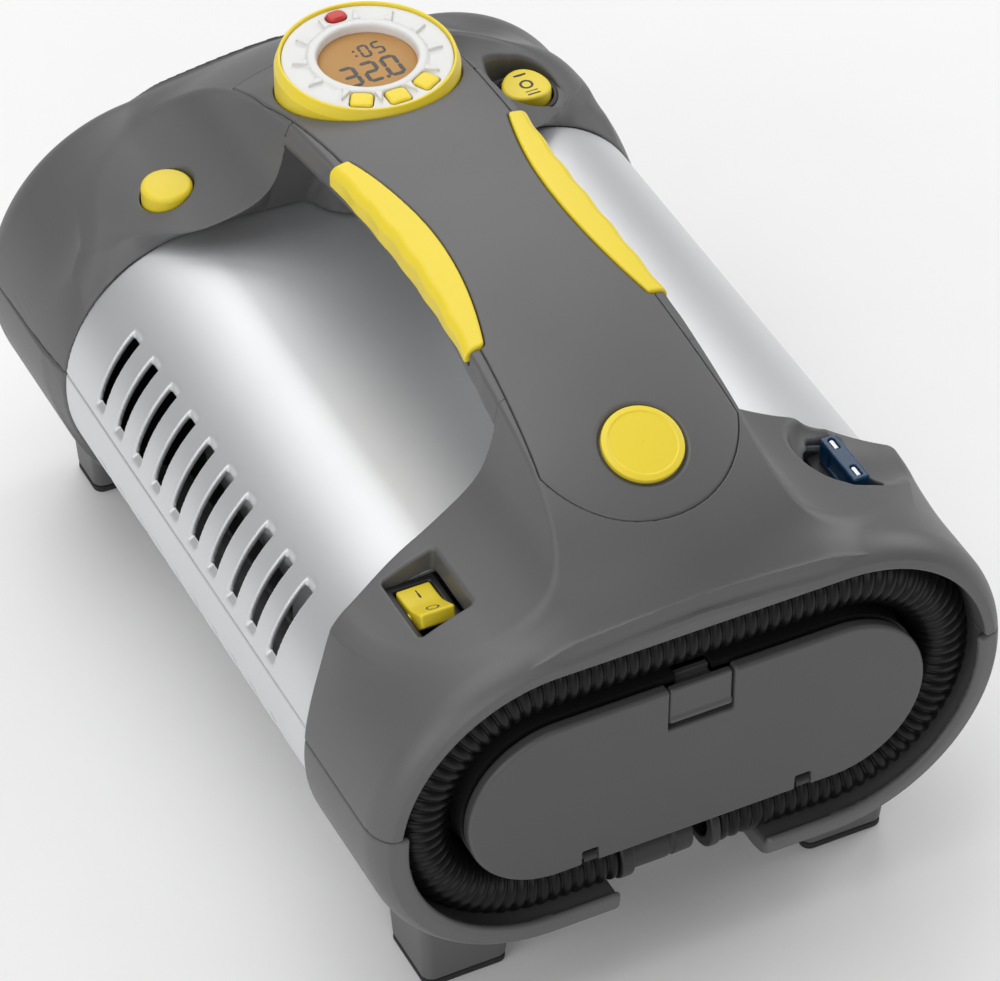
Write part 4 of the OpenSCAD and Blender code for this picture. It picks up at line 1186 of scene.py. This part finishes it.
def power_rocker():
    g = Grid((POWER_X - 7, POWER_Y - 10, ROCKER_Z - 4), (POWER_X + 7, POWER_Y + 10, ROCKER_Z + 8), 0.25)
    lift = g.z - ROCKER_Z
    aside = g.x - POWER_X
    along = (g.y - POWER_Y) * math.cos(ROCKER_TILT) - lift * math.sin(ROCKER_TILT)
    up = (g.y - POWER_Y) * math.sin(ROCKER_TILT) + lift * math.cos(ROCKER_TILT)
    valley = up - 3.1 - 0.25 * np.sqrt(along**2 + 4) + 0.5
    belly = np.maximum(-up - 2.8, 0.55 * np.abs(along) - 0.835 * (up + 2.8) - 1.65)
    body = both(both(valley, rounded_box(aside, along, 5, 8, 0.8), 0.8), belly, 0.3)
    axle = np.maximum(np.hypot(along, up) - 1.4, np.abs(aside) - 6.8)
    marks = ring_mark(aside, along + 4.6, 1.6, 0.35)
    marks = np.minimum(marks, rounded_box(aside, along - 4.4, 0.4, 1.8, 0.3))
    add(mark_on("power_rocker_marks", g, body, np.maximum(marks, -up)), "power_rocker", "black_plastic")
    return solid("power_rocker_cap", g, np.minimum(body, axle))


def hole_filler(x, y, half, span, corner, cell):
    """Grid and solid of a body that fills its hole in a cap."""
    g = Grid((x - half[0], y - half[1], span[0]), (x + half[0], y + half[1], span[1]), cell)
    plan = rounded_box(g.x - x, g.y - y, half[0] - 0.05, half[1] - 0.05, corner)
    return g, both(plan, slab(g.z, *span), 0.5)


def power_switch_body():
    g, body = hole_filler(POWER_X, POWER_Y, POWER_HOLE, POWER_Z, 1.0, 0.4)
    cavity = np.maximum(rounded_box(g.x - POWER_X, g.y - POWER_Y, 5.3, 9.4, 0.6), 35.2 - g.z)
    return solid("power_switch_frame", g, less(body, cavity, 0.6))


MODE_AXLE_Z = 45.2
MODE_R = 7.2
MODE_Z = (43.6, 50.1)
MODE_CUP = (9.35, 8.95)
MODE_CUP_T = 1.25
MODE_CUP_Z = (40.2, 47.2)


def mode_rocker():
    g = Grid((MODE_X - 8.5, MODE_Y - 7.5, MODE_Z[0]), (MODE_X + 8.5, MODE_Y + 7.5, 51), 0.25)
    aside, along = g.x - MODE_X, g.y - MODE_Y
    top = g.z - MODE_Z[1] - 0.012 * along**2 + 0.012 * aside**2
    body = both(np.hypot(aside, along) - MODE_R, np.maximum(top, MODE_Z[0] - g.z), 0.9)
    axle = np.maximum(np.hypot(along, g.z - MODE_AXLE_Z) - 1.3, np.abs(aside) - 8.4)
    marks = ring_mark(aside, along, 1.7, 0.45)
    marks = np.minimum(marks, rounded_box(aside, along - 4.4, 2.1, 0.45, 0.3))
    marks = np.minimum(marks, rounded_box(aside, np.abs(along + 4.3) - 0.85, 2.1, 0.45, 0.3))
    add(mark_on("mode_rocker_marks", g, body, np.maximum(marks, 48 - g.z)), "mode_rocker", "black_plastic")
    return solid("mode_rocker_cap", g, np.minimum(body, axle))


def mode_switch_body():
    low, high = MODE_CUP_Z
    g = Grid((MODE_X - 9, MODE_Y - 9.4, low), (MODE_X + 9, MODE_Y + 9.4, high), 0.3)
    plan = stadium(g.y - MODE_Y, g.x - MODE_X, *MODE_CUP)
    body = both(plan, slab(g.z, low, high), 0.6)
    cavity = np.maximum(plan + MODE_CUP_T, low + 1.4 - g.z)
    return solid("mode_switch_cup", g, less(body, cavity, 0.4))


PUSH_R = 7.4
PUSH_Z = (42.5, 54)


def push_button():
    low, high = PUSH_Z
    g = Grid((PUSH_X - PUSH_R, PUSH_Y - PUSH_R, low), (PUSH_X + PUSH_R, PUSH_Y + PUSH_R, high), 0.3)
    r = np.hypot(g.x - PUSH_X, g.y - PUSH_Y)
    body = both(r - PUSH_R, np.maximum(g.z - high + 0.014 * r**2, low - g.z), 1.2)
    return solid("push_button_cap", g, body)


FUSE_HALF = (2.55, 9.55)
FUSE_Z = (39.3, 47.0)
HOLDER_Z = (25, 39)
BLADE_Y = 6.6
BLADE_Z = (28.5, 40)
POINT_Y = 6.0


def blade_fuse():
    g = Grid((FUSE_X - 2.6, FUSE_Y - 9.6, 39), (FUSE_X + 2.6, FUSE_Y + 9.6, 47), 0.25)
    aside, along = g.x - FUSE_X, np.abs(g.y - FUSE_Y)
    body = both(rounded_box(aside, along, *FUSE_HALF, 0.7), slab(g.z, *FUSE_Z), 0.6)
    window = rounded_box(aside, along - POINT_Y, 0.9, 2.2, 0.5)
    body = less(body, np.maximum(window, FUSE_Z[1] - 0.9 - g.z), 0.2)
    flank = np.maximum(2.0 - np.abs(aside), np.maximum(along - 4.5, slab(g.z, 40.5, 45)))
    return solid("blade_fuse_body", g, less(body, flank, 0.3))


def fuse_metal():
    g = Grid((FUSE_X - 1, FUSE_Y - 9.6, BLADE_Z[0]), (FUSE_X + 1, FUSE_Y + 9.6, FUSE_Z[1]), 0.2)
    aside, along = g.x - FUSE_X, np.abs(g.y - FUSE_Y)
    blades = np.maximum(np.abs(along - BLADE_Y) - 2.6, slab(g.z, *BLADE_Z))
    blades = np.maximum(np.abs(aside) - 0.32, blades)
    points = both(rounded_box(aside, along - POINT_Y, 0.7, 1.9, 0.4), slab(g.z, 45, 46.7), 0.2)
    return solid("blade_fuse_metal", g, np.minimum(blades, points))


def fuse_holder():
    g, body = hole_filler(FUSE_X, FUSE_Y, FUSE_HOLE, HOLDER_Z, 1.4, 0.35)
    slots = rounded_box(g.x - FUSE_X, np.abs(g.y - FUSE_Y) - BLADE_Y, 0.63, 2.9, 0.3)
    return solid("fuse_holder_block", g, less(body, np.maximum(slots, 27 - g.z), 0.2))


dress_all(power_switch_body, power_rocker, mode_switch_body, mode_rocker, push_button)
dress_all(fuse_holder, blade_fuse)
add(fuse_metal(), "blade_fuse", "steel")


# Rear gland and screws

CORD_R = 3.6
HEAD_R = 3.6
SHANK_R = 2.0


def cord_gland():
    y = BODY_LEN - 0.5
    outer_r = GLAND_R - 0.1
    outline = soften([(CORD_R, y - 5.5), (outer_r, y - 5.5), (outer_r, y - 0.6), (6.6, y),
                      (5.8, y - 0.8), (5.0, y), (CORD_R, y - 0.3)], 0.4)
    return lathe("cord_gland_bush", outline, (0, 0, GLAND_Z), axis="y")


def case_screw(side):
    y = BODY_LEN - 0.2
    x = side * SCREW_X
    end = y - 8.8
    g = Grid((x - 3.7, end, SCREW_Z - 3.7), (x + 3.7, y, SCREW_Z + 3.7), 0.25)
    aside, up = g.x - x, g.z - SCREW_Z
    r = np.hypot(aside, up)
    head = both(r - HEAD_R, np.maximum(g.y - y + 0.03 * r**2, y - 1.8 - g.y), 0.3)
    cross = np.maximum(np.minimum(np.abs(aside), np.abs(up)) - 0.45, r - 2.1)
    head = less(head, np.maximum(cross, y - 1.2 - g.y), 0.15)
    shank = np.maximum(r - SHANK_R, slab(g.y, end, y - 1.5))
    return solid(f"case_screw_{'left' if side < 0 else 'right'}", g, np.minimum(head, shank))


dress(cord_gland(), "cord_gland")
for side in (-1, 1):
    dress(case_screw(side), "case_screws")


# Floor, light and sky

FLOOR_HALF = 3000
SKY_STRENGTH = 0.22

# Place and size of each soft light in metres, and its power in watts
LIGHT_TARGET = Vector((0, 0, 0.05))
LIGHTS = [
    ("soft_top", (-0.3, 0.2, 1.25), 1.1, 8),
    ("soft_left", (-1.2, -0.5, 0.7), 0.8, 5),
    ("soft_right", (1.2, 0.1, 0.8), 0.8, 6),
    ("soft_front", (-0.5, -1.3, 0.7), 0.8, 4.5),
    ("soft_back", (0.45, 1.2, 1.1), 1.2, 8),
]


def make_stage():
    corners = [(x * FLOOR_HALF, y * FLOOR_HALF, -PART_Z) for x, y in ((-1, -1), (1, -1), (1, 1), (-1, 1))]
    floor = mesh_object("floor", corners, [(0, 1, 2, 3)])
    paper = finish("floor_paper", (0.9, 0.9, 0.9), rough=0.8, grain=2.0, depth=0.02, cloud=0.01)
    floor.data.materials.append(paper)


def area_light(name, place, size, power):
    light = bpy.data.lights.new(name, "AREA")
    light.size = size
    light.energy = power
    obj = bpy.data.objects.new(name, light)
    obj.location = place
    obj.rotation_euler = (LIGHT_TARGET - Vector(place)).to_track_quat("-Z", "Y").to_euler()
    bpy.context.scene.collection.objects.link(obj)


def make_light():
    world = bpy.data.worlds.new("studio")
    world.use_nodes = True
    background = world.node_tree.nodes["Background"]
    background.inputs["Color"].default_value = (1, 1, 1, 1)
    background.inputs["Strength"].default_value = SKY_STRENGTH
    bpy.context.scene.world = world
    for name, place, size, power in LIGHTS:
        area_light(name, place, size, power)
    bpy.context.scene.view_settings.view_transform = "Standard"


make_stage()
make_light()
